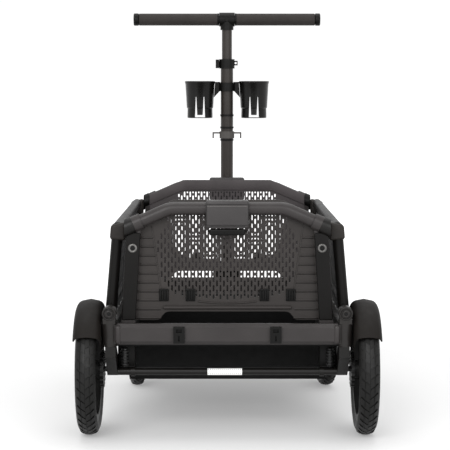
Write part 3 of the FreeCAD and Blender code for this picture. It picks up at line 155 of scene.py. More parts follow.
class Wire:
    """A shader socket that can stand in a sum; each operation adds a Math node."""

    def __init__(self, graph: "Graph", socket: bpy.types.NodeSocket) -> None:
        """Keep the socket and the graph that it belongs to."""
        self.graph = graph
        self.socket = socket

    def _join(self, operation: str, first: object, second: object) -> "Wire":
        """Add a Math node on two values or sockets."""
        return self.graph.add("ShaderNodeMath", {"operation": operation}, {0: first, 1: second})

    def __add__(self, other: object) -> "Wire":
        """Sum."""
        return self._join("ADD", self, other)

    def __sub__(self, other: object) -> "Wire":
        """Difference."""
        return self._join("SUBTRACT", self, other)

    def __rsub__(self, other: object) -> "Wire":
        """Difference from a plain value."""
        return self._join("SUBTRACT", other, self)

    def __mul__(self, other: object) -> "Wire":
        """Product."""
        return self._join("MULTIPLY", self, other)

    def __pow__(self, other: object) -> "Wire":
        """Power."""
        return self._join("POWER", self, other)

    __radd__ = __add__
    __rmul__ = __mul__


class Graph:
    """The node tree of one material."""

    def __init__(self, name: str) -> None:
        """Start a material with its Principled shader."""
        self.material = bpy.data.materials.new(name)
        self.material.use_nodes = True
        self.tree = self.material.node_tree
        self.shader = next(n for n in self.tree.nodes if n.type == "BSDF_PRINCIPLED")

    def add(self, kind: str, settings: dict[str, object], values: dict[object, object],
            output: object = 0) -> Wire:
        """Add a node.

        Args:
            kind: The node's type.
            settings: What is set on the node itself, before its sockets.
            values: Numbers, colours or wires for its inputs, by name or index.
            output: The output that the wire stands for.

        Returns:
            A wire from that output.
        """
        node = self.tree.nodes.new(kind)
        for key, value in settings.items():
            setattr(node, key, value)
        for key, value in values.items():
            self.feed(node.inputs[key], value)
        return Wire(self, node.outputs[output])

    def feed(self, socket: bpy.types.NodeSocket, value: object) -> None:
        """Link a wire to a socket, or set the socket's own value."""
        if isinstance(value, Wire):
            self.tree.links.new(value.socket, socket)
        else:
            socket.default_value = value

    def set(self, name: str, value: object) -> None:
        """Feed one of the shader's sockets."""
        self.feed(self.shader.inputs[name], value)


class Dresser:
    """Makes each finish's material once and puts it on pieces."""

    def __init__(self) -> None:
        """Start with no materials."""
        self.made: dict[str, bpy.types.Material] = {}

    def material(self, finish: Finish) -> bpy.types.Material:
        """Return the finish's material, made on first use."""
        if finish.name not in self.made:
            self.made[finish.name] = self._build(finish)
        return self.made[finish.name]

    def dress(self, piece: bpy.types.Object, finish: Finish) -> None:
        """Give a piece one finish all over."""
        material = self.material(finish)
        if not piece.material_slots:
            piece.data.materials.append(material)
        for slot in piece.material_slots:
            slot.material = material

    def _build(self, finish: Finish) -> bpy.types.Material:
        """Build a finish from noise at three scales, and a weave on cloth."""
        graph = Graph(finish.name)
        place = graph.add("ShaderNodeTexCoord", {}, {}, "Object")
        tint = self._noise(graph, place, 14.0, 4.0)
        fine = self._noise(graph, place, finish.grain[0], 2.0)
        smear = self._noise(graph, place, 60.0, 3.0)
        dark = tuple(c * (1 - finish.mottle) for c in finish.colour)
        light = tuple(c * (1 + finish.mottle) + finish.dust for c in finish.colour)
        share = (tint - 0.5) * 1.4 + 0.5 + (fine - 0.5) * 0.35
        height = fine
        if finish.surface is Surface.CLOTH:
            height = self._weave(graph, place, finish.grain[0])
            share = share * 0.6 + height * 0.4
        if finish.surface is Surface.METAL:
            height = self._brushed(graph, place)
        if finish.surface is Surface.CARD:
            share = 1 - self._print_lines(graph, place) * 0.9
            dark = (0.1, 0.1, 0.1)
        colour = graph.add("ShaderNodeMix", {"data_type": "RGBA", "clamp_factor": True},
                           {0: share, 6: (*dark, 1), 7: (*light, 1)}, 2)
        graph.set("Base Color", colour)
        graph.set("Roughness", (smear - 0.5) * 0.22 + finish.rough)
        graph.set("Metallic", finish.metallic)
        graph.set("Coat Weight", finish.coat)
        graph.set("Coat Roughness", 0.25)
        graph.set("Specular IOR Level", finish.shine)
        bump = graph.add("ShaderNodeBump", {}, {"Height": height, "Distance": finish.grain[1] * MM,
                                                "Strength": 0.7})
        graph.set("Normal", bump)
        if finish.surface is Surface.CLOTH:
            graph.set("Sheen Weight", 0.08)
            graph.set("Sheen Roughness", 0.5)
        return graph.material

    def _noise(self, graph: Graph, place: Wire, scale: float, detail: float) -> Wire:
        """Noise at so many features per metre."""
        return graph.add("ShaderNodeTexNoise", {}, {"Vector": place, "Scale": scale, "Detail": detail})

    def _weave(self, graph: Graph, place: Wire, per_m: float) -> Wire:
        """Two crossing sets of threads."""
        bands = [graph.add("ShaderNodeTexWave", {"bands_direction": way},
                           {"Vector": place, "Scale": per_m / 6, "Distortion": 0.6}) for way in "YZ"]
        return graph.add("ShaderNodeMath", {"operation": "MAXIMUM"}, {0: bands[0], 1: bands[1]})

    def _brushed(self, graph: Graph, place: Wire) -> Wire:
        """Fine turning marks."""
        stretched = graph.add("ShaderNodeMapping", {}, {"Vector": place, "Scale": (0.05, 1, 1)})
        return self._noise(graph, stretched, 2500.0, 2.0)

    def _print_lines(self, graph: Graph, place: Wire) -> Wire:
        """Plain dark rules, standing for print."""
        rules = graph.add("ShaderNodeTexWave", {"bands_direction": "Z"}, {"Vector": place, "Scale": 40.0})
        breaks = graph.add("ShaderNodeTexWave", {"bands_direction": "X"}, {"Vector": place, "Scale": 75.0})
        both = rules * breaks
        return graph.add("ShaderNodeMath", {"operation": "GREATER_THAN"}, {0: both, 1: 0.7})


# ---------------------------------------------------------------- modelling by hand

@dataclass
class Bench:
    """Modelling steps shared by every sub-assembly."""

    dresser: Dresser

    def only(self, piece: bpy.types.Object) -> None:
        """Select and activate one object alone."""
        bpy.ops.object.select_all(action="DESELECT")
        piece.select_set(True)
        bpy.context.view_layer.objects.active = piece

    def block(self, low: Sequence[float], high: Sequence[float], bevel: float = 0.0,
              steps: int = 3) -> bpy.types.Object:
        """Add a block between two corners, its edges rounded.

        Args:
            low: Lowest corner, metres.
            high: Highest corner, metres.
            bevel: Radius of the rounded edges.
            steps: Segments of each rounding.

        Returns:
            The block.
        """
        bpy.ops.object.select_all(action="DESELECT")
        low, high = Vector(low), Vector(high)
        bpy.ops.mesh.primitive_cube_add(size=1, location=(low + high) / 2)
        piece = bpy.context.object
        piece.scale = high - low
        bpy.ops.object.transform_apply(location=True, rotation=True, scale=True)
        return self.bevel(piece, bevel, steps)

    def rod(self, centre: Sequence[float], radius: float, length: float, axis: str, sides: int = 48,
            bevel: float = 0.0) -> bpy.types.Object:
        """Add a round bar along X, Y or Z about its middle."""
        bpy.ops.object.select_all(action="DESELECT")
        bpy.ops.mesh.primitive_cylinder_add(vertices=sides, radius=radius, depth=length, location=centre,
                                            rotation=AXIS_TURNS[axis])
        piece = bpy.context.object
        bpy.ops.object.transform_apply(location=True, rotation=True, scale=True)
        return self.bevel(piece, bevel, 3)

    def ring(self, centre: Sequence[float], radius: float, thick: float, axis: str,
             sides: int = 48) -> bpy.types.Object:
        """Add a round-section ring about an axis."""
        bpy.ops.object.select_all(action="DESELECT")
        bpy.ops.mesh.primitive_torus_add(major_radius=radius, minor_radius=thick, major_segments=sides,
                                         minor_segments=12, location=centre, rotation=AXIS_TURNS[axis])
        piece = bpy.context.object
        bpy.ops.object.transform_apply(location=True, rotation=True, scale=True)
        return piece

    def bevel(self, piece: bpy.types.Object, width: float, steps: int = 3) -> bpy.types.Object:
        """Round a piece's sharp edges."""
        if width > 0:
            modifier = piece.modifiers.new("round", "BEVEL")
            modifier.width, modifier.segments = width, steps
            modifier.limit_method, modifier.angle_limit = "ANGLE", math.radians(30)
            modifier.use_clamp_overlap = True
            self.apply(piece)
        return piece

    def apply(self, piece: bpy.types.Object) -> None:
        """Apply every modifier in order."""
        self.only(piece)
        for modifier in list(piece.modifiers):
            bpy.ops.object.modifier_apply(modifier=modifier.name)

    def plate(self, outline: Sequence[tuple[float, float]], low_y: float, high_y: float) -> bpy.types.Object:
        """Extrude an outline in X and Z from one depth to another.

        Args:
            outline: Corners in order.
            low_y: Depth that it starts from.
            high_y: Depth that it reaches.

        Returns:
            A closed plate.
        """
        mesh = bpy.data.meshes.new("plate")
        mesh.from_pydata([(x, low_y, z) for x, z in outline], [], [tuple(range(len(outline)))])
        piece = bpy.data.objects.new("plate", mesh)
        bpy.context.collection.objects.link(piece)
        self.only(piece)
        bpy.ops.object.mode_set(mode="EDIT")
        bpy.ops.mesh.select_all(action="SELECT")
        bpy.ops.mesh.extrude_region_move(TRANSFORM_OT_translate={"value": (0, high_y - low_y, 0)})
        bpy.ops.mesh.select_all(action="SELECT")
        bpy.ops.mesh.normals_make_consistent(inside=False)
        bpy.ops.object.mode_set(mode="OBJECT")
        return piece

    def lathe(self, profile: Sequence[tuple[float, float]], centre: Sequence[float], sweep: float = 360.0,
              start: float = 0.0, steps: int = 96) -> bpy.types.Object:
        """Spin a closed profile about an axis along X.

        Args:
            profile: Corners as distance along X and radius.
            centre: A point of the axis.
            sweep: Degrees that the profile turns through.
            start: Degrees from straight up at which it starts, positive towards -Y.
            steps: Segments round the sweep.

        Returns:
            The turned piece, closed at its ends where it isn't a full turn.
        """
        mesh = bpy.data.meshes.new("lathe")
        count = len(profile)
        mesh.from_pydata([(x, 0, r) for x, r in profile], [], [tuple(range(count))])
        piece = bpy.data.objects.new("lathe", mesh)
        bpy.context.collection.objects.link(piece)
        self.only(piece)
        piece.rotation_euler = (math.radians(start), 0, 0)
        bpy.ops.object.transform_apply(location=False, rotation=True, scale=False)
        bpy.ops.object.mode_set(mode="EDIT")
        bpy.ops.mesh.select_all(action="SELECT")
        full = sweep >= 360
        if full:
            bpy.ops.mesh.delete(type="ONLY_FACE")
            bpy.ops.mesh.select_all(action="SELECT")
        bpy.ops.mesh.spin(steps=steps, angle=-math.radians(sweep), center=(0, 0, 0), axis=(1, 0, 0))
        bpy.ops.mesh.select_all(action="SELECT")
        bpy.ops.mesh.remove_doubles(threshold=0.00001)
        if not full:
            bpy.ops.mesh.select_all(action="DESELECT")
            bpy.ops.mesh.select_non_manifold(extend=False)
            bpy.ops.mesh.edge_face_add()
            bpy.ops.mesh.select_all(action="SELECT")
        bpy.ops.mesh.normals_make_consistent(inside=False)
        bpy.ops.object.mode_set(mode="OBJECT")
        return self.move(piece, Matrix.Translation(Vector(centre)))

    def move(self, piece: bpy.types.Object, matrix: Matrix) -> bpy.types.Object:
        """Put a piece's place into its mesh."""
        piece.data.transform(matrix)
        if matrix.determinant() < 0:
            piece.data.flip_normals()
        return piece

    def copy(self, piece: bpy.types.Object, matrix: Matrix) -> bpy.types.Object:
        """Copy a piece with a mesh of its own, and move the copy."""
        twin = piece.copy()
        twin.data = piece.data.copy()
        bpy.context.collection.objects.link(twin)
        return self.move(twin, matrix)

    def both_sides(self, right: bpy.types.Object) -> list[tuple[str, bpy.types.Object]]:
        """The right-hand piece and its mirror image, with their sides' names."""
        return [("right", right), ("left", self.copy(right, MIRROR_X))]

    def drop(self, *pieces: bpy.types.Object) -> None:
        """Delete patterns that only served as originals."""
        for piece in pieces:
            bpy.data.objects.remove(piece)

    def join(self, pieces: Iterable[bpy.types.Object]) -> bpy.types.Object:
        """Join pieces of one material into one object."""
        pieces = list(pieces)
        self.only(pieces[0])
        for piece in pieces:
            piece.select_set(True)
        if len(pieces) > 1:
            bpy.ops.object.join()
        return pieces[0]

    def carve(self, piece: bpy.types.Object, tool: bpy.types.Object) -> bpy.types.Object:
        """Cut a tool's shape out of a piece and drop the tool."""
        modifier = piece.modifiers.new("carve", "BOOLEAN")
        modifier.operation, modifier.object, modifier.solver = "DIFFERENCE", tool, "EXACT"
        modifier.use_self = True
        self.apply(piece)
        bpy.data.objects.remove(tool)
        return piece

    def finish(self, piece: bpy.types.Object, name: str, body: str, finish: Finish, slot: str,
               replaces: Sequence[str] = (), angle: float = 35.0) -> bpy.types.Object:
        """Name, smooth and dress a piece, and let it ride on its body.

        Args:
            piece: The modelled piece, in place.
            name: Its name.
            body: The body that it moves with.
            finish: Its finish.
            slot: The record's material slot that it stands for; not used.
            replaces: Plain nodes that it stands for.
            angle: Edges flatter than this are smooth, degrees.

        Returns:
            The same piece.
        """
        piece.name = name
        self.only(piece)
        bpy.ops.object.shade_smooth_by_angle(angle=math.radians(angle))
        self.dresser.dress(piece, finish)
        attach(piece, body)
        if replaces:
            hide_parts(*replaces)
        log.info("%s rides on %s, %d faces", name, body, len(piece.data.polygons))
        return piece


# ---------------------------------------------------------------- end walls

@dataclass
class EndWall(Bench):
    """The perforated panel of an end wall with its ribs, ledge and clips, modelled once for both ends."""

    slot_pitch: float = 7.3 * MM
    slot_wide: float = 3.7 * MM
    slot_long: float = 14 * MM
    slot_row: float = 20 * MM
    field_half: float = 148.4 * MM
    rim_deep: float = 30 * MM
    rib_step: float = 19 * MM
    rib_tall: float = 3 * MM
    ledge_high: float = 23 * MM
    clip_places: tuple[float, ...] = (-134 * MM, -78 * MM, 78 * MM, 134 * MM)
    clip_size: tuple[float, float] = (20 * MM, 26 * MM)
    rivet_radius: float = 10 * MM
    flat: float = 113 * MM

    def build(self) -> None:
        """Build the rear wall's pieces and turned copies for the front wall."""
        self.low, self.high = corners(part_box("rear_wall_panel"))
        self.out, self.inn = self.low.y, self.high.y
        self.half = self.high.x
        panel = self._panel()
        trims = self._trims()
        rivets = self._rivets()
        clips = self.join([part for x in self.clip_places for part in self._clip(x)])
        posts = self.join([self._post_cover(sign) for sign in (-1, 1)])
        collars = self.join([self._collar(sign) for sign in (-1, 1)])
        # The front wall's panel and trims take the lighter copy of the panel plastic, as painted light. The
        # rear's take the plain one.
        for end, matrix, skin, sleeve in (("rear", Matrix.Identity(4), PANEL_SKIN, LEG_COAT),
                                          ("front", TURN_ROUND, LIT_FRONT_SKIN, BLACK_SKIN)):
            for piece, name, finish, slot in (
                    (panel, "perforated_panel", skin, "panel_plastic"),
                    (trims, "panel_trims", skin, "panel_plastic"),
                    # Post covers take the darker copy of the frame paint, as painted shade.
                    (posts, "post_covers", SHADED_SIDE_COAT, "frame_paint"),
                    (collars, "sleeve_collars", sleeve, "frame_paint"),
                    (clips, "panel_clips", BLACK_SKIN, "black_plastic"),
                    (rivets[0], "post_rivets", STEEL, "dark_steel"),
                    # Near-black discs in the rivets, as painted shade in their holes.
                    (rivets[1], "rivet_painted_shade", FLOOR_SKIN, "dark_steel")):
                replaced = [f"{end}_wall_panel"] if piece is panel else []
                self.finish(self.copy(piece, matrix), f"{end}_{name}", f"{end}_wall", finish, slot, replaced)
        self.drop(panel, trims, clips, posts, collars, *rivets)

    def top_at(self, x: float) -> float:
        """Height of the panel's rim at a distance from the centre line."""
        shoulder = self.shoulder
        if abs(x) <= self.flat:
            return self.high.z
        share = (abs(x) - self.flat) / (self.half - self.flat)
        return self.high.z + (shoulder - self.high.z) * share

    @property
    def shoulder(self) -> float:
        """Height of the panel's outer top corners."""
        return self.high.z - 38 * MM

    def _outline(self) -> list[tuple[float, float]]:
        """The panel's outline with rounded shoulders and an arched notch at its foot."""
        foot, half = self.low.z, self.half
        arch = ((144, 1), (134, 13), (130, 16.2), (125, 17.6), (119, 18))
        notch = [(x * MM, foot + z * MM) for x, z in arch]
        notch = notch + [(-x, z) for x, z in reversed(notch)]
        right = [(half, foot), (half, self.shoulder - 4 * MM), (half - 2 * MM, self.shoulder)]
        bend = [(self.flat + 9 * MM, self.top_at(self.flat + 9 * MM)), (self.flat, self.high.z - 0.4 * MM),
                (self.flat - 9 * MM, self.high.z)]
        left = [(-x, z) for x, z in reversed(right + bend)]
        return [(-146 * MM, foot)] + [(-x, z) for x, z in notch] + [(146 * MM, foot)] + right + bend + left

    def _panel(self) -> bpy.types.Object:
        """Plate with its field of staggered slots."""
        plate = self.plate(self._outline(), self.out, self.inn)
        return self.carve(plate, self._slots())

    def _field(self, x: float) -> tuple[float, float]:
        """Lowest and highest point of the slots at a distance from the centre line."""
        base, half = self.low.z, abs(x)
        foot = base + 42.6 * MM + 10.5 * MM * (half / 0.108) ** 1.3 + max(0.0, half - 0.108) * 0.76
        foot = max(foot, base + 163 * MM - (self.field_half - half) / 0.117)
        head = min(self.top_at(x) - self.rim_deep, base + 163 * MM + (self.field_half - half) * 2.27)
        return foot, head

    def _slots(self) -> bpy.types.Object:
        """Every slot as one closed tool: rounded-end prisms in staggered columns."""
        vertices: list[Point] = []
        faces: list[tuple[int, ...]] = []
        columns = int(self.field_half / self.slot_pitch)
        for column in range(-columns, columns + 1):
            x = column * self.slot_pitch
            foot, head = self._field(x)
            z = self.low.z + (self.slot_row / 2 if column % 2 else 0)
            while z < head:
                bottom, top = max(z, foot), min(z + self.slot_long, head)
                if top - bottom > self.slot_wide * 1.2:
                    self._prism(vertices, faces, self._slot_ring(x, bottom, top), self.inn + 2 * MM)
                z += self.slot_row
        for z in self._rib_heights():
            for sign in (-1, 1):
                near, far = sorted((sign * (self._seam(z) + 3 * MM), sign * self._rib_end(z)))
                ring = [(near, z - 2 * MM), (far, z - 2 * MM), (far, z), (near, z)]
                self._prism(vertices, faces, ring, self.out + 2.2 * MM)
        mesh = bpy.data.meshes.new("slots")
        mesh.from_pydata(vertices, [], faces)
        tool = bpy.data.objects.new("slots", mesh)
        bpy.context.collection.objects.link(tool)
        return tool

    def _slot_ring(self, x: float, bottom: float, top: float) -> list[tuple[float, float]]:
        """Outline of a slot with rounded ends."""
        half = self.slot_wide / 2
        return [(x - half, bottom + half), (x - half * 0.6, bottom), (x + half * 0.6, bottom),
                (x + half, bottom + half), (x + half, top - half), (x + half * 0.6, top),
                (x - half * 0.6, top), (x - half, top - half)]

    def _prism(self, vertices: list[Point], faces: list[tuple[int, ...]], ring: list[tuple[float, float]],
               depth: float) -> None:
        """Add a prism to a mesh, from outside the panel to a depth."""
        first, count = len(vertices), len(ring)
        for y in (self.out - 2 * MM, depth):
            vertices.extend((x, y, z) for x, z in ring)
        faces.append(tuple(first + k for k in range(count)))
        faces.append(tuple(first + count + k for k in reversed(range(count))))
        for k in range(count):
            after = (k + 1) % count
            faces.append((first + after, first + k, first + count + k, first + count + after))

    def _rib_heights(self) -> list[float]:
        """Underside of each rib beside the slots."""
        first, last = self.low.z + 3 * MM, self.shoulder - 34 * MM
        return [first + k * self.rib_step for k in range(int((last - first) / self.rib_step) + 1)]

    def _rib_end(self, z: float) -> float:
        """Outer end of a rib from the centre line."""
        return 196 * MM - (z - self.low.z) * 0.06

    def _trims(self) -> bpy.types.Object:
        """Side ribs, seam beads, ledges and rim bands, on the faces that show them."""
        out = self.out
        pieces = []
        for z in self._rib_heights():
            for sign in (-1, 1):
                ends = sorted((sign * self._seam(z), sign * self._rib_end(z)))
                pieces.append(self.block((ends[0], out - 2 * MM, z), (ends[1], out, z + self.rib_tall),
                                         0.7 * MM, 2))
        for sign in (-1, 1):
            pieces.append(self._seam_bead(sign))
        pieces.append(self._ledge(self.low.z + self.ledge_high, 6 * MM, 7 * MM, 136 * MM, 0))
        pieces.append(self._ledge(self.low.z + 34 * MM, 3 * MM, 3 * MM, 62 * MM, 4 * MM))
        for side_y, deep in ((self.inn, 2.5 * MM), (self.out, -2 * MM)):
            pieces.append(self._rim_band(side_y, deep))
        return self.join(pieces)

    def _post_cover(self, sign: int) -> bpy.types.Object:
        """A rounded face along the outside of a wall post."""
        half, lean = 14.6 * MM, 13.5 / 226
        foot, head = self.low.z + 2 * MM, self.low.z + 186 * MM
        low, high = (209.5 * MM - (z - 224 * MM) * lean for z in (foot, head))
        outline = [(sign * (low - half), foot), (sign * (low + half), foot), (sign * (high + half), head),
                   (sign * (high - half), head)]
        piece = self.plate(outline, self.out - 20 * MM, self.out - 15.4 * MM)
        return self.bevel(piece, 4.2 * MM, 5)

    def _collar(self, sign: int) -> bpy.types.Object:
        """A collar round the outer end of a top sleeve, cut upright at the seam with the side frame."""
        fall = math.atan2(42, 96)
        low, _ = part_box("rear_wall_frame")
        collar = self.rod((0, 0, 0), 18 * MM, 34 * MM, "X", 64, 1.2 * MM)
        self.move(collar, Matrix.Rotation(sign * fall, 4, "Y"))
        centre = Vector((sign * 212 * MM, low[1] + 17 * MM, 447.75 * MM))
        self.move(collar, Matrix.Translation(centre))
        near, far = sorted((sign * 215.9 * MM, sign * 250 * MM))
        outside = self.block((near, low[1] - 10 * MM, 400 * MM), (far, low[1] + 50 * MM, 500 * MM))
        return self.carve(collar, outside)

    def _seam(self, z: float) -> float:
        """Distance of the slanted seam beside the slots from the centre line."""
        return 139.8 * MM + max(0.0, z - self.low.z - 68 * MM) * 0.137

    def _seam_bead(self, sign: int) -> bpy.types.Object:
        """The bead along that seam, from the ledge to the rim band."""
        heights = (self.low.z + 40 * MM, self.low.z + 68 * MM, self.shoulder - 18 * MM)
        inner = [(sign * self._seam(z), z) for z in heights]
        outer = [(x + sign * 2.4 * MM, z) for x, z in reversed(inner)]
        piece = self.plate(inner + outer, self.out - 2 * MM, self.out)
        return self.bevel(piece, 0.8 * MM, 2)

    def _ledge(self, z: float, proud: float, tall: float, half: float, rise: float) -> bpy.types.Object:
        """A bead across the panel, rising towards its ends."""
        steps = 16
        upper = [(half * (2 * k / steps - 1), z + tall + rise * (2 * k / steps - 1) ** 2)
                 for k in range(steps + 1)]
        lower = [(x, height - tall) for x, height in reversed(upper)]
        piece = self.plate(upper + lower, self.out - proud, self.out)
        return self.bevel(piece, min(proud, tall) * 0.45, 3)

    def _rim_band(self, y: float, deep: float) -> bpy.types.Object:
        """Smooth band along the panel's top edge, on one face."""
        xs = [-self.half + 1 * MM, -self.flat - 6 * MM, -self.flat + 6 * MM]
        xs = xs + [-x for x in reversed(xs)]
        upper = [(x, self.top_at(x) - 0.4 * MM) for x in xs]
        lower = [(x, z - self.rim_deep + 4 * MM) for x, z in reversed(upper)]
        piece = self.plate(upper + lower, min(y, y + deep), max(y, y + deep))
        return self.bevel(piece, 0.9 * MM, 3)

    def _clip(self, x: float) -> list[bpy.types.Object]:
        """A block with three grooves and a bright lip."""
        wide, tall = self.clip_size
        low = self.low.z + 40 * MM
        out = self.out
        pieces = [self.block((x - wide / 2, out - 3 * MM, low), (x + wide / 2, out, low + tall), 1 * MM)]
        for k in range(4):
            rib = x + (k - 1.5) * wide / 4
            pieces.append(self.block((rib - 1.5 * MM, out - 6 * MM, low + 2 * MM),
                                     (rib + 1.5 * MM, out - 2.5 * MM, low + tall - 3 * MM), 0.8 * MM))
        pieces.append(self.block((x - wide / 2, out - 6.5 * MM, low + tall - 4 * MM),
                                 (x + wide / 2, out, low + tall), 1.2 * MM))
        return pieces

    def _rivets(self) -> tuple[bpy.types.Object, bpy.types.Object]:
        """Ring rivets near the heads of the posts, and a near-black disc in each as painted shade for its
        hole.
        """
        rings, sockets = [], []
        face = self.out - 20 * MM
        for sign in (-1, 1):
            centre = Vector((sign * 198.5 * MM, face, 405 * MM))
            rings.append(self.ring(centre, self.rivet_radius - 2.8 * MM, 2.8 * MM, "Y"))
            # A near-black disc inside the ring, standing in for the shade in the rivet's hole.
            sockets.append(self.rod(centre, self.rivet_radius - 4.2 * MM, 1.6 * MM, "Y", 24, 0.4 * MM))
        return self.join(rings), self.join(sockets)


@dataclass
class Latches(Bench):
    """Latch boxes round the middle of the top tubes, with their levers and a painted highlight strip on each
    box.
    """

    def build(self) -> None:
        """Build the box and the lever of the rear wall and turned copies for the front."""
        low, high = corners(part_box("rear_latch_box"))
        lever_low, lever_high = corners(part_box("rear_latch_lever"))
        low.z = lever_high.z + 2 * MM
        box = self.block(low, high, 5 * MM, 4)
        groove = self.block((low.x - 5 * MM, low.y - 4 * MM, high.z - 9 * MM),
                            (high.x + 5 * MM, low.y + 2 * MM, high.z - 7.6 * MM))
        box = self.carve(box, groove)
        lip = self.block((low.x + 1.5 * MM, low.y - 3 * MM, low.z + 6 * MM),
                         (high.x - 1.5 * MM, low.y + 3 * MM, high.z - 9.5 * MM), 2.4 * MM, 4)
        hollow = self.block((low.x + 9 * MM, low.y - 1 * MM, low.z - 2 * MM),
                            (high.x - 9 * MM, low.y + 4 * MM, low.z + 5 * MM), 1.5 * MM)
        box = self.carve(box, hollow)
        # A thin strip in the pale finish under the groove, as a painted highlight along the box.
        edge = self.block((low.x + 2.5 * MM, low.y - 3.6 * MM, high.z - 12.2 * MM),
                          (high.x - 2.5 * MM, low.y - 0.5 * MM, high.z - 10 * MM), 0.9 * MM, 3)
        box = self.join([box, lip])
        lever = self.block(lever_low + Vector((4 * MM, 0, 0)), lever_high - Vector((4 * MM, 0, 0)), 3 * MM, 4)
        for k in range(-4, 5):
            notch = self.block((k * 7 * MM - 1 * MM, lever_low.y - 2 * MM, lever_low.z + 3 * MM),
                               (k * 7 * MM + 1 * MM, lever_low.y + 0.8 * MM, lever_high.z - 4 * MM))
            lever = self.carve(lever, notch)
        pin = self.rod(((lever_low.x + lever_high.x) / 2, (lever_low.y + lever_high.y) / 2,
                        lever_high.z - 4 * MM), 2 * MM, lever_high.x - lever_low.x, "X", 16)
        lever = self.join([lever, pin])
        raised = Matrix.Translation((0, 0, 5 * MM)) @ TURN_ROUND
        for end, matrix in (("rear", Matrix.Identity(4)), ("front", raised)):
            self.finish(self.copy(box, matrix), f"{end}_latch_cover", f"{end}_wall", BOX_SKIN,
                        "black_plastic", [f"{end}_latch_box"])
            self.finish(self.copy(lever, matrix), f"{end}_latch_grip", f"{end}_latch", BLACK_SKIN,
                        "black_plastic", [f"{end}_latch_lever"])
            self.finish(self.copy(edge, matrix), f"{end}_latch_painted_highlight", f"{end}_wall", PAINTED_HIGHLIGHT_SKIN,
                        "black_plastic")
        self.drop(box, lever, edge)


# ---------------------------------------------------------------- wheels

@dataclass
class Tyre(Bench):
    """A tyre whose tread blocks run in a chevron, modelled as one pitch and turned round."""

    node: str
    body: str
    pitches: int
    lug: float
    turned: float = 0.0

    def build(self) -> None:
        """Build the carcass and its tread."""
        low, high = corners(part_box(self.node))
        centre = (low + high) / 2
        radius = (high.z - low.z) / 2
        rim = self._seat(radius)
        half = self._half_width(low, high, radius)
        carcass = self.lathe(self._profile(radius - self.lug, rim, half), (0, 0, 0))
        blocks = self._blocks(radius, half)
        piece = self.join([carcass, *blocks])
        spin = Matrix.Rotation(math.radians(self.turned), 4, "Z")
        self.move(piece, Matrix.Translation(centre) @ spin)
        self.finish(piece, self.node + "_treaded", self.body, TREAD, "tyre_rubber", [self.node])

    def _seat(self, radius: float) -> float:
        """Radius at which the tyre sits on its rim."""
        return radius * (0.8 if radius > 100 * MM else 60 / 82)

    def _half_width(self, low: Vector, high: Vector, radius: float) -> float:
        """Half of the tyre's own width, whichever way it is turned."""
        angle = math.radians(self.turned)
        return ((high.x - low.x) - 2 * radius * math.sin(angle)) / math.cos(angle) / 2 if self.turned else \
            (high.x - low.x) / 2

    def _profile(self, crown: float, rim: float, half: float) -> list[tuple[float, float]]:
        """Section of the carcass: seat, sidewalls and a round crown."""
        arc = [(x, crown - self._drop(x, half)) for x in (half * math.sin(math.radians(d))
                                                          for d in range(-80, 81, 8))]
        return [(-half * 0.78, rim), *arc, (half * 0.78, rim)]

    def _drop(self, x: float, half: float) -> float:
        """How far the carcass falls below its crown at a distance from its middle."""
        return half * 0.75 * (1 - math.cos(math.asin(min(0.99, abs(x) / half)))) ** 0.9

    def _blocks(self, radius: float, half: float) -> list[bpy.types.Object]:
        """Chevron blocks laid on the carcass, one pitch copied round the wheel."""
        pitch = 2 * math.pi / self.pitches
        arc = radius * pitch
        pattern = []
        for sign in (-1, 1):
            for near, far, long in ((0.02, 0.4, 0.43), (0.47, 0.8, 0.36)):
                block = self.block((half * near, -arc * long, -self.lug * 2),
                                   (half * far, arc * long, self.lug))
                self.only(block)
                bpy.ops.object.mode_set(mode="EDIT")
                bpy.ops.mesh.select_all(action="SELECT")
                bpy.ops.mesh.subdivide(number_cuts=3, smoothness=0)
                bpy.ops.object.mode_set(mode="OBJECT")
                for vertex in block.data.vertices:
                    x = vertex.co.x
                    base = radius - self.lug - self._drop(x, half)
                    top = max(0.0, vertex.co.z)
                    vertex.co.y += 0.8 * arc * x / half
                    vertex.co.z = base + (top if top > 0 else vertex.co.z)
                if sign < 0:
                    self.move(block, MIRROR_X)
                    self.move(block, Matrix.Rotation(pitch / 2, 4, "X"))
                pattern.append(block)
        one = self.join(pattern)
        return [one, *(self.copy(one, Matrix.Rotation(pitch * k, 4, "X")) for k in range(1, self.pitches))]


@dataclass
class RearHub(Bench):
    """Hub cap outside a rear wheel, bored through, and a ring on the wheel's face."""

    def build(self) -> None:
        """Build both sides."""
        for side, sign in (("left", -1), ("right", 1)):
            low, high = corners(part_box(f"{side}_rear_rim"))
            centre = (low + high) / 2
            face = high.x if sign > 0 else low.x
            cap = self.rod((face - sign * 4 * MM, centre.y, centre.z), 26 * MM, 8 * MM, "X", 64, 2 * MM)
            ring = self.ring((face - sign * 8 * MM, centre.y, centre.z), 97 * MM, 2.5 * MM, "X", 96)
            bore = self.rod((face, centre.y, centre.z), 12.5 * MM, 30 * MM, "X", 48)
            cap = self.carve(cap, bore)
            self.finish(self.join([cap, ring]), f"{side}_hub_cap", f"{side}_rear_wheel", RIM_SKIN,
                        "rim_plastic")


# ---------------------------------------------------------------- mudguards

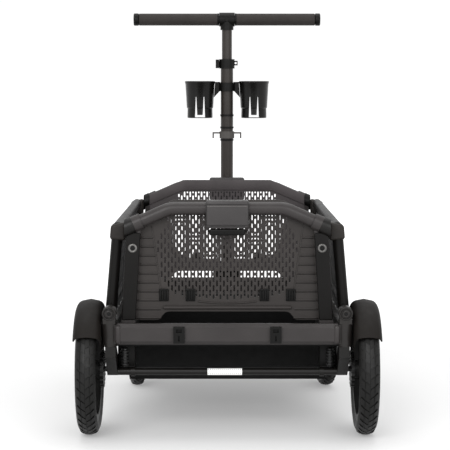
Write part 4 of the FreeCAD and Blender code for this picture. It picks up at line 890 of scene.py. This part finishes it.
@dataclass
class Mudguards(Bench):
    """Domed mudguards over the rear wheels, with a rolled lip and a cheek to the rail."""

    wall: float = 2.5 * MM
    sweep: float = 110.0

    def build(self) -> None:
        """Build the right mudguard and mirror it for the left."""
        low, high = corners(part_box("right_mudguard"))
        axle = (Vector(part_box("right_rear_tyre")[0]) + Vector(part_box("right_rear_tyre")[1])) / 2
        crown = high.z - axle.z
        inner = 264 * MM
        wide = high.x - inner
        shell = self.lathe(self._profile(crown, wide), (inner, axle.y, axle.z), self.sweep,
                           -self.sweep / 2, 72)
        stay = self.rod(((low.x + inner) / 2 + 1 * MM, axle.y, 222 * MM), 9.5 * MM, inner - low.x + 2 * MM,
                        "X", 32, 1 * MM)
        whole = self.join([shell, stay])
        for side, piece in self.both_sides(whole):
            self.finish(piece, f"{side}_guard_shell", "chassis", GUARD_SKIN, "guard_plastic",
                        [f"{side}_mudguard"])

    def _profile(self, crown: float, wide: float) -> list[tuple[float, float]]:
        """Section with a full rounded crown, an inner cheek and an outer skirt with a lip."""
        wall = self.wall
        shoulder = 15 * MM
        round_z = crown - 3 * MM - shoulder
        turns = [(math.cos(a), math.sin(a)) for a in (math.radians(d) for d in range(0, 76, 15))]
        outer = [(wide, crown - 20 * MM), (wide + 0.6 * MM, crown - 17 * MM)]
        outer += [(wide - shoulder + shoulder * c, round_z + shoulder * s) for c, s in turns]
        outer += [(wide * 0.5, crown)]
        outer += [(shoulder - shoulder * c, round_z + shoulder * s) for c, s in reversed(turns)]
        outer += [(0, crown - 66 * MM)]
        inner = [(wall, crown - 66 * MM), (wall, crown - 20 * MM), (wall + 4 * MM, crown - 9 * MM),
                 (shoulder, crown - 4.5 * MM), (wide * 0.5, crown - wall),
                 (wide - shoulder, crown - 4.5 * MM),
                 (wide - wall - 4 * MM, crown - 9 * MM), (wide - wall, crown - 18 * MM),
                 (wide - wall, crown - 20 * MM)]
        return outer + inner


# ---------------------------------------------------------------- sides

@dataclass
class SideCloth(Bench):
    """Padded cloth stretched in each side frame, bound with tape, and its skirt down to the rail."""

    channels: int = 4
    reach: float = 6 * MM
    skirt_drop: float = 36 * MM

    def build(self) -> None:
        """Build the right side's cloth and mirror it for the left."""
        low, high = corners(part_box("right_side_panel"))
        local_low = (low.z - SIDE_HINGE.z) / math.cos(SIDE_LEAN)
        local_high = (high.z - SIDE_HINGE.z) / math.cos(SIDE_LEAN)
        cloth = self._pad(low.y + 4 * MM, high.y - 4 * MM, local_low, local_high)
        tape = self._tape(low.y + 3 * MM, high.y - 3 * MM, local_low, local_high)
        skirt = self._skirt(low.y, high.y)
        for piece in (cloth, tape, skirt):
            self.move(piece, SIDE_TURN)
        for pairs in zip(*map(self.both_sides, (cloth, tape, skirt))):
            (side, *_), parts = zip(*pairs)
            body = f"{side}_side"
            self.finish(parts[0], f"{side}_cloth", body, SIDE_CLOTH, "side_fabric", [f"{side}_side_panel"])
            self.finish(parts[1], f"{side}_cloth_tape", body, TAPE, "side_fabric")
            self.finish(parts[2], f"{side}_cloth_skirt", body, SIDE_CLOTH, "side_fabric")

    def _pad(self, start: float, end: float, low: float, high: float) -> bpy.types.Object:
        """A thin pad, filled by a short cloth simulation and then drawn in along its sewn channels."""
        pad = self.block((-2.2 * MM, start, low + 1 * MM), (2.2 * MM, end, high - 1 * MM), 1.5 * MM, 2)
        modifier = pad.modifiers.new("even", "REMESH")
        modifier.mode, modifier.voxel_size = "VOXEL", 4.4 * MM
        self.apply(pad)
        self._fill(pad)
        middle = (low + high) / 2
        for vertex in pad.data.vertices:
            along = (vertex.co.y - start) / (end - start) * self.channels
            near = abs(along - round(along)) * (end - start) / self.channels
            across = vertex.co.z - middle
            draw = 1 - 0.72 * math.exp(-(near / (5 * MM)) ** 2) - 0.3 * math.exp(-(across / (6 * MM)) ** 2)
            vertex.co.x *= max(0.2, draw)
        modifier = pad.modifiers.new("soft", "SUBSURF")
        modifier.levels = 1
        self.apply(pad)
        return pad

    def _fill(self, pad: bpy.types.Object) -> None:
        """Swell the pad with Cloth pressure, each point held within a short way of where it was."""
        start = [vertex.co.copy() for vertex in pad.data.vertices]
        modifier = pad.modifiers.new("fill", "CLOTH")
        settings = modifier.settings
        settings.use_pressure = True
        settings.uniform_pressure_force = 4
        settings.effector_weights.gravity = 0
        scene = bpy.context.scene
        for frame in range(1, 21):
            scene.frame_set(frame)
        self.apply(pad)
        scene.frame_set(1)
        for vertex, before in zip(pad.data.vertices, start):
            shift = vertex.co - before
            if shift.length > self.reach:
                shift *= self.reach / shift.length
            vertex.co = before + Vector((shift.x, shift.y * 0.3, shift.z * 0.3))

    def _tape(self, start: float, end: float, low: float, high: float) -> bpy.types.Object:
        """Binding round the cloth's edge and along its seams."""
        wide, proud = 7 * MM, 2.6 * MM
        pieces = [self.block((-proud, start, z), (proud, end, z + wide), 1 * MM, 2)
                  for z in (low, high - wide)]
        for k in range(5):
            y = start + (end - start) * k / 4
            pieces.append(self.block((-proud, y - wide / 2, low), (proud, y + wide / 2, high), 1 * MM, 2))
        return self.join(pieces)

    def _drop_at(self, y: float) -> float:
        """How far the skirt hangs, shorter beside a mudguard so that it clears it as the side folds."""
        low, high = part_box("right_mudguard")
        beside = low[1] - 12 * MM < y < high[1] + 12 * MM
        return self.skirt_drop - 15 * MM if beside else self.skirt_drop

    def _skirt(self, start: float, end: float) -> bpy.types.Object:
        """Cloth from the lower bar down to the rail, in soft waves."""
        long, steps, rows = end - start - 40 * MM, 160, 6
        vertices, faces = [], []
        for k in range(steps + 1):
            for row in range(rows + 1):
                y = start + 20 * MM + long * k / steps
                drop = self._drop_at(y)
                wave = 1.1 * MM * math.sin(k * 0.41 + 0.8 * math.sin(k * 0.13)) * (row / rows) ** 0.7
                vertices.append((-1.2 * MM + wave, y, 12 * MM - drop * row / rows))
        for k in range(steps):
            for row in range(rows):
                first = k * (rows + 1) + row
                faces.append((first, first + 1, first + rows + 2, first + rows + 1))
        mesh = bpy.data.meshes.new("skirt")
        mesh.from_pydata(vertices, [], faces)
        skirt = bpy.data.objects.new("skirt", mesh)
        bpy.context.collection.objects.link(skirt)
        modifier = skirt.modifiers.new("thick", "SOLIDIFY")
        modifier.thickness, modifier.offset = 1.2 * MM, 0
        self.apply(skirt)
        return skirt


@dataclass
class CornerCaps(Bench):
    """Rounded plastic corners of the side frames, square to the sleeves beside them."""

    seam: float = 214.9 * MM

    def build(self) -> None:
        """Build the right pair and mirror it."""
        _, high = corners(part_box("right_corner_caps"))
        top = 190 * MM
        pieces = []
        for facing in (-1, 1):
            ends = sorted((facing * high.y, facing * (high.y - 42 * MM)))
            cap = self.block((-15 * MM, ends[0], top - 40 * MM), (15 * MM, ends[1], top))
            for vertex in cap.data.vertices:
                if vertex.co.x < 0:
                    seam = self.seam - SIDE_HINGE.x + vertex.co.z * math.sin(SIDE_LEAN)
                    vertex.co.x = seam / math.cos(SIDE_LEAN)
                elif vertex.co.z > top - 1 * MM:
                    vertex.co.z -= 9 * MM
            pieces.append(self.bevel(cap, 6 * MM, 5))
        both = self.join(pieces)
        self.move(both, SIDE_TURN)
        for side, piece in self.both_sides(both):
            self.finish(piece, f"{side}_cap_shells", f"{side}_side", CAP_SKIN, "guard_plastic",
                        [f"{side}_corner_caps"])


@dataclass
class ChassisTrim(Bench):
    """Hinge bolt rings and their painted socket shade, gussets, the ribbed brake springs with their housings,
    and the deck's end strips.
    """

    def build(self) -> None:
        """Build every piece on both sides."""
        bolts, sockets, gussets, springs, housings, edges = [], [], [], [], [], []
        for sign in (-1, 1):
            for facing in (-1, 1):
                spot = Vector((sign * 247 * MM, facing * 447 * MM, 270 * MM))
                bolts.append(self.ring(spot - Vector((0, facing * 5.4 * MM, 0)), 12.4 * MM, 1.9 * MM, "Y"))
                bolts.append(self.ring(spot, 5.6 * MM, 2.2 * MM, "Y"))
                # A near-black hex disc in each bolt, as painted shade for its socket's recess.
                sockets.append(self.rod(spot, 4 * MM, 1.6 * MM, "Y", 6))
                gussets.append(self._gusset(sign, facing))
            housing, *rings = self._spring(sign)
            housings.append(housing)
            springs.extend(rings)
        for facing in (-1, 1):
            near, far = sorted((facing * 399.5 * MM, facing * 414.2 * MM))
            edges.append(self.block((-228 * MM, near, 203 * MM), (228 * MM, far, 205.8 * MM), 0.8 * MM, 2))
        finish = self.finish
        finish(self.join(bolts), "hinge_bolt_rings", "chassis", FRAME_COAT, "dark_steel")
        finish(self.join(sockets), "hinge_bolt_painted_shade", "chassis", FLOOR_SKIN, "dark_steel")
        finish(self.join(gussets), "crossbar_gussets", "chassis", RAIL_COAT, "crossbar_paint")
        finish(self.join(springs), "brake_springs", "chassis", BLACK_STEEL, "dark_steel")
        finish(self.join(housings), "brake_housings", "chassis", BLACK_SKIN, "black_plastic")
        finish(self.join(edges), "deck_edges", "chassis", FLOOR_SKIN, "black_plastic")

    def _gusset(self, sign: int, facing: int) -> bpy.types.Object:
        """A cheek over the joint of a crossbar and its corner."""
        inner, outer = sorted((sign * 222 * MM, sign * 236 * MM))
        near, far = sorted((facing * 410 * MM, facing * 442.5 * MM))
        return self.block((inner, near, 206 * MM), (outer, far, 246 * MM), 6 * MM, 3)

    def _spring(self, sign: int) -> list[bpy.types.Object]:
        """A housing beside the leg with a stack of bright rings."""
        near, far = sorted((sign * 196 * MM, sign * 233.5 * MM))
        pieces = [self.block((near, -371 * MM, 146 * MM), (far, -340 * MM, 196 * MM), 4 * MM, 3)]
        x = sign * 219 * MM
        pieces.append(self.rod((x, -376 * MM, 168 * MM), 6.5 * MM, 40 * MM, "Z", 32, 1 * MM))
        for k in range(5):
            pieces.append(self.ring((x, -376 * MM, (154 + 7 * k) * MM), 7.5 * MM, 2 * MM, "Z", 32))
        return pieces


# ---------------------------------------------------------------- handle, brake and small parts

@dataclass
class Grips(Bench):
    """Foam grips with end caps and a seam near the hub."""

    def build(self) -> None:
        """Build both grips as one node's pieces."""
        low, high = corners(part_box("handle_grips"))
        centre = (low + high) / 2
        radius = (high.z - low.z) / 2
        foam, caps = [], []
        hub = 20.3 * MM
        cap_long = 14 * MM
        for sign in (-1, 1):
            long = high.x - hub - cap_long
            middle = hub + long / 2
            foam.append(self.rod((sign * middle, centre.y, centre.z), radius - 0.5 * MM, long - 0.6 * MM,
                                 "X", 64, 1.5 * MM))
            caps.append(self.rod((sign * (high.x - cap_long / 2), centre.y, centre.z), radius, cap_long,
                                 "X", 64, 3 * MM))
            caps.append(self.rod((sign * (hub + 2.5 * MM), centre.y, centre.z), radius, 5 * MM, "X", 64,
                                 1 * MM))
        self.finish(self.join(foam), "foam_grips", "handle", GRIP_FOAM, "grip_foam",
                    ["handle_grips"])
        self.finish(self.join(caps), "grip_caps", "handle", BLACK_SKIN, "grip_foam")


@dataclass
class Cups(Bench):
    """Tapered cups with a stepped foot, a rolled mouth and a tongue between two windows on each face."""

    wall: float = 3 * MM
    step: float = 27 * MM
    window_half: float = 13.5 * MM
    window_tall: float = 55 * MM

    def build(self) -> None:
        """Build one cup and a copy on the other side of the mast."""
        for side in ("left", "right"):
            low, high = corners(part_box(f"{side}_cup"))
            mouth, tall = (high.x - low.x) / 2, high.z - low.z
            cup = self.lathe(self._profile(mouth, tall), (0, 0, 0), steps=72)
            self.move(cup, Matrix.Rotation(-math.pi / 2, 4, "Y"))
            cup = self.carve(cup, self.plate(self._window(), -mouth - 5 * MM, mouth + 5 * MM))
            self.move(cup, Matrix.Translation(((low.x + high.x) / 2, (low.y + high.y) / 2, low.z)))
            self.finish(cup, f"{side}_cup_shell", "mast", CUP_SKIN, "black_plastic", [f"{side}_cup"])

    def _profile(self, mouth: float, tall: float) -> list[tuple[float, float]]:
        """Section from the foot to the mouth and back down inside, as height and radius."""
        foot = mouth - 6.5 * MM
        slope = (mouth - 1.2 * MM - foot) / tall
        waist = foot + slope * self.step
        outer = [(0, 0.5 * MM), (0, foot - 1.5 * MM), (1.5 * MM, foot), (self.step - 2 * MM, waist - 2 * MM),
                 (self.step, waist), (tall - 7 * MM, mouth - 1.4 * MM), (tall - 5 * MM, mouth - 0.3 * MM),
                 (tall - 1 * MM, mouth), (tall, mouth - 0.8 * MM)]
        inner = [(tall, mouth - self.wall), (tall - 2 * MM, mouth - self.wall - 0.8 * MM),
                 (self.wall + 2 * MM, foot - self.wall), (self.wall, foot - self.wall - 2 * MM),
                 (self.wall, 0.5 * MM)]
        return outer + inner

    def _window(self) -> list[tuple[float, float]]:
        """Outline of the two windows, joined under the tongue."""
        half, high = self.window_half, self.window_tall
        right = [(half * 0.5, 8 * MM), (half * 0.68, high), (half * 0.85, high), (half, 1.5 * MM)]
        return [(-x, z) for x, z in reversed(right)] + right


@dataclass
class BrakeTrim(Bench):
    """Blank label on the brake's foot bar."""

    def build(self) -> None:
        """Wrap a card label round the front of the bar."""
        low, high = corners(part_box("brake_bar"))
        z = (low.z + high.z) / 2
        y = low.y + 10 * MM
        radius = 7.5 * MM + 0.35 * MM
        label = self.lathe([(-42 * MM, radius - 0.3 * MM), (31 * MM, radius - 0.3 * MM), (31 * MM, radius),
                            (-42 * MM, radius)], (0, y, z), 130, 25, 24)
        self.finish(label, "bar_label", "brake_bar", LABEL_CARD, "black_plastic")


# ---------------------------------------------------------------- the studio

@dataclass
class Studio:
    """Camera, pale floor and soft lights."""

    focal_px: float = 1625.93
    image_px: float = 450.0
    sensor_mm: float = 36.0
    tilt: float = math.radians(90 - 4.632)
    place: Point = (-0.00503, -3.8043, 0.72846)

    def build(self) -> None:
        """Set up everything that isn't the object."""
        self._camera()
        self._floor()
        self._lights()

    def _camera(self) -> None:
        """A long lens from behind, just above the rim of the cabin."""
        bpy.ops.object.camera_add(location=self.place, rotation=(self.tilt, 0, 0))
        camera = bpy.context.object
        camera.data.sensor_width = self.sensor_mm
        camera.data.lens = self.focal_px * self.sensor_mm / self.image_px
        camera.data.clip_end = 60
        bpy.context.scene.camera = camera

    def _floor(self) -> None:
        """A wide pale floor that meets the light all round. Its painted glow is faint near the wagon, lifting
        its cast shadow, and white far off.
        """
        bpy.ops.object.select_all(action="DESELECT")
        bpy.ops.mesh.primitive_plane_add(size=60, location=(0, 0, 0))
        floor = bpy.context.object
        floor.name = "studio_floor"
        graph = Graph("pale_floor")
        place = graph.add("ShaderNodeTexCoord", {}, {}, "Object")
        cloud = graph.add("ShaderNodeTexNoise", {}, {"Vector": place, "Scale": 3.0})
        # Painted light: the floor glows weakly within 0.9 m to lighten the wagon's shadow, rising to white by
        # 2.6 m.
        far = graph.add("ShaderNodeVectorMath", {"operation": "LENGTH"}, {0: place}, "Value")
        glow = graph.add("ShaderNodeMapRange", {}, {"Value": far, "From Min": 0.9, "From Max": 2.6,
                                                    "To Min": 0.25, "To Max": 0.75})
        graph.set("Base Color", (0.5, 0.5, 0.5, 1))
        graph.set("Roughness", cloud * 0.1 + 0.75)
        graph.set("Emission Color", graph.add("ShaderNodeCombineColor", {}, {0: glow, 1: glow, 2: glow}))
        graph.set("Emission Strength", 1.0)
        floor.data.materials.append(graph.material)

    def _lights(self) -> None:
        """White surroundings and three large soft boxes."""
        world = bpy.data.worlds.new("white_room")
        bpy.context.scene.world = world
        world.use_nodes = True
        world.node_tree.nodes["Background"].inputs["Color"].default_value = (1, 1, 1, 1)
        world.node_tree.nodes["Background"].inputs["Strength"].default_value = 1.03
        bpy.context.scene.view_settings.view_transform = "Standard"
        for name, place, power, size in (("key", (-1.5, -4.4, 2.6), 120, 2.2),
                                         ("fill", (1.9, -4.0, 1.8), 60, 2.0),
                                         ("top", (0, 0.4, 3.6), 60, 3.0)):
            bpy.ops.object.light_add(type="AREA", location=place)
            lamp = bpy.context.object
            lamp.name = name
            lamp.data.energy, lamp.data.size = power, size
            aim = Vector((0, 0, 0.35)) - Vector(place)
            lamp.rotation_euler = aim.to_track_quat("-Z", "Y").to_euler()


CAD_FINISHES: dict[str, Finish] = {
    "frame_paint": FRAME_COAT, "crossbar_paint": RAIL_COAT, "mast_paint": MAST_COAT,
    "dark_steel": BLACK_STEEL,
    "guard_plastic": GUARD_SKIN, "panel_plastic": PANEL_SKIN, "black_plastic": BLACK_SKIN,
    "rim_plastic": RIM_SKIN, "tyre_rubber": TREAD, "side_fabric": SIDE_CLOTH, "grip_foam": GRIP_FOAM,
}


NODE_FINISHES: dict[str, Finish] = {
    # The side frames take the darker copy of the frame paint, as painted shade.
    "floor_deck": FLOOR_SKIN, "footwell_tub": FLOOR_SKIN, "left_side_frame": SHADED_SIDE_COAT,
    "right_side_frame": SHADED_SIDE_COAT, "left_brake_rotor": BLACK_STEEL, "right_brake_rotor": BLACK_STEEL,
    "release_slider": SLIDER_SKIN, "rear_corners": FRAME_COAT, "rear_legs": LEG_COAT, "brake_bar": LEG_COAT,
}


def dress_frame(frame: dict, dresser: Dresser) -> None:
    """Give every carried-over node the finish of its slot."""
    slots = {part["node"]: part["material_slot"] for part in frame["record"]["subparts"]}
    for name, node in frame["nodes"].items():
        finish = NODE_FINISHES.get(name, CAD_FINISHES[slots[name]])
        for slot in node.material_slots:
            slot.material = dresser.material(finish)
    log.info("%d nodes of the frame dressed", len(frame["nodes"]))


def main() -> None:
    """Build every sub-assembly in order."""
    logging.basicConfig(level=logging.INFO, format="%(name)s: %(message)s")
    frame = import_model()
    dresser = Dresser()
    Studio().build()
    dress_frame(frame, dresser)
    EndWall(dresser).build()
    Latches(dresser).build()
    Tyre(dresser, "left_rear_tyre", "left_rear_wheel", 42, 1.1 * MM).build()
    Tyre(dresser, "right_rear_tyre", "right_rear_wheel", 42, 1.1 * MM).build()
    Tyre(dresser, "left_front_tyre", "left_front_wheel", 30, 1.0 * MM, 11.0).build()
    Tyre(dresser, "right_front_tyre", "right_front_wheel", 30, 1.0 * MM, 11.0).build()
    RearHub(dresser).build()
    Mudguards(dresser).build()
    SideCloth(dresser).build()
    CornerCaps(dresser).build()
    Grips(dresser).build()
    Cups(dresser).build()
    BrakeTrim(dresser).build()
    ChassisTrim(dresser).build()


if __name__ == "__main__":
    main()
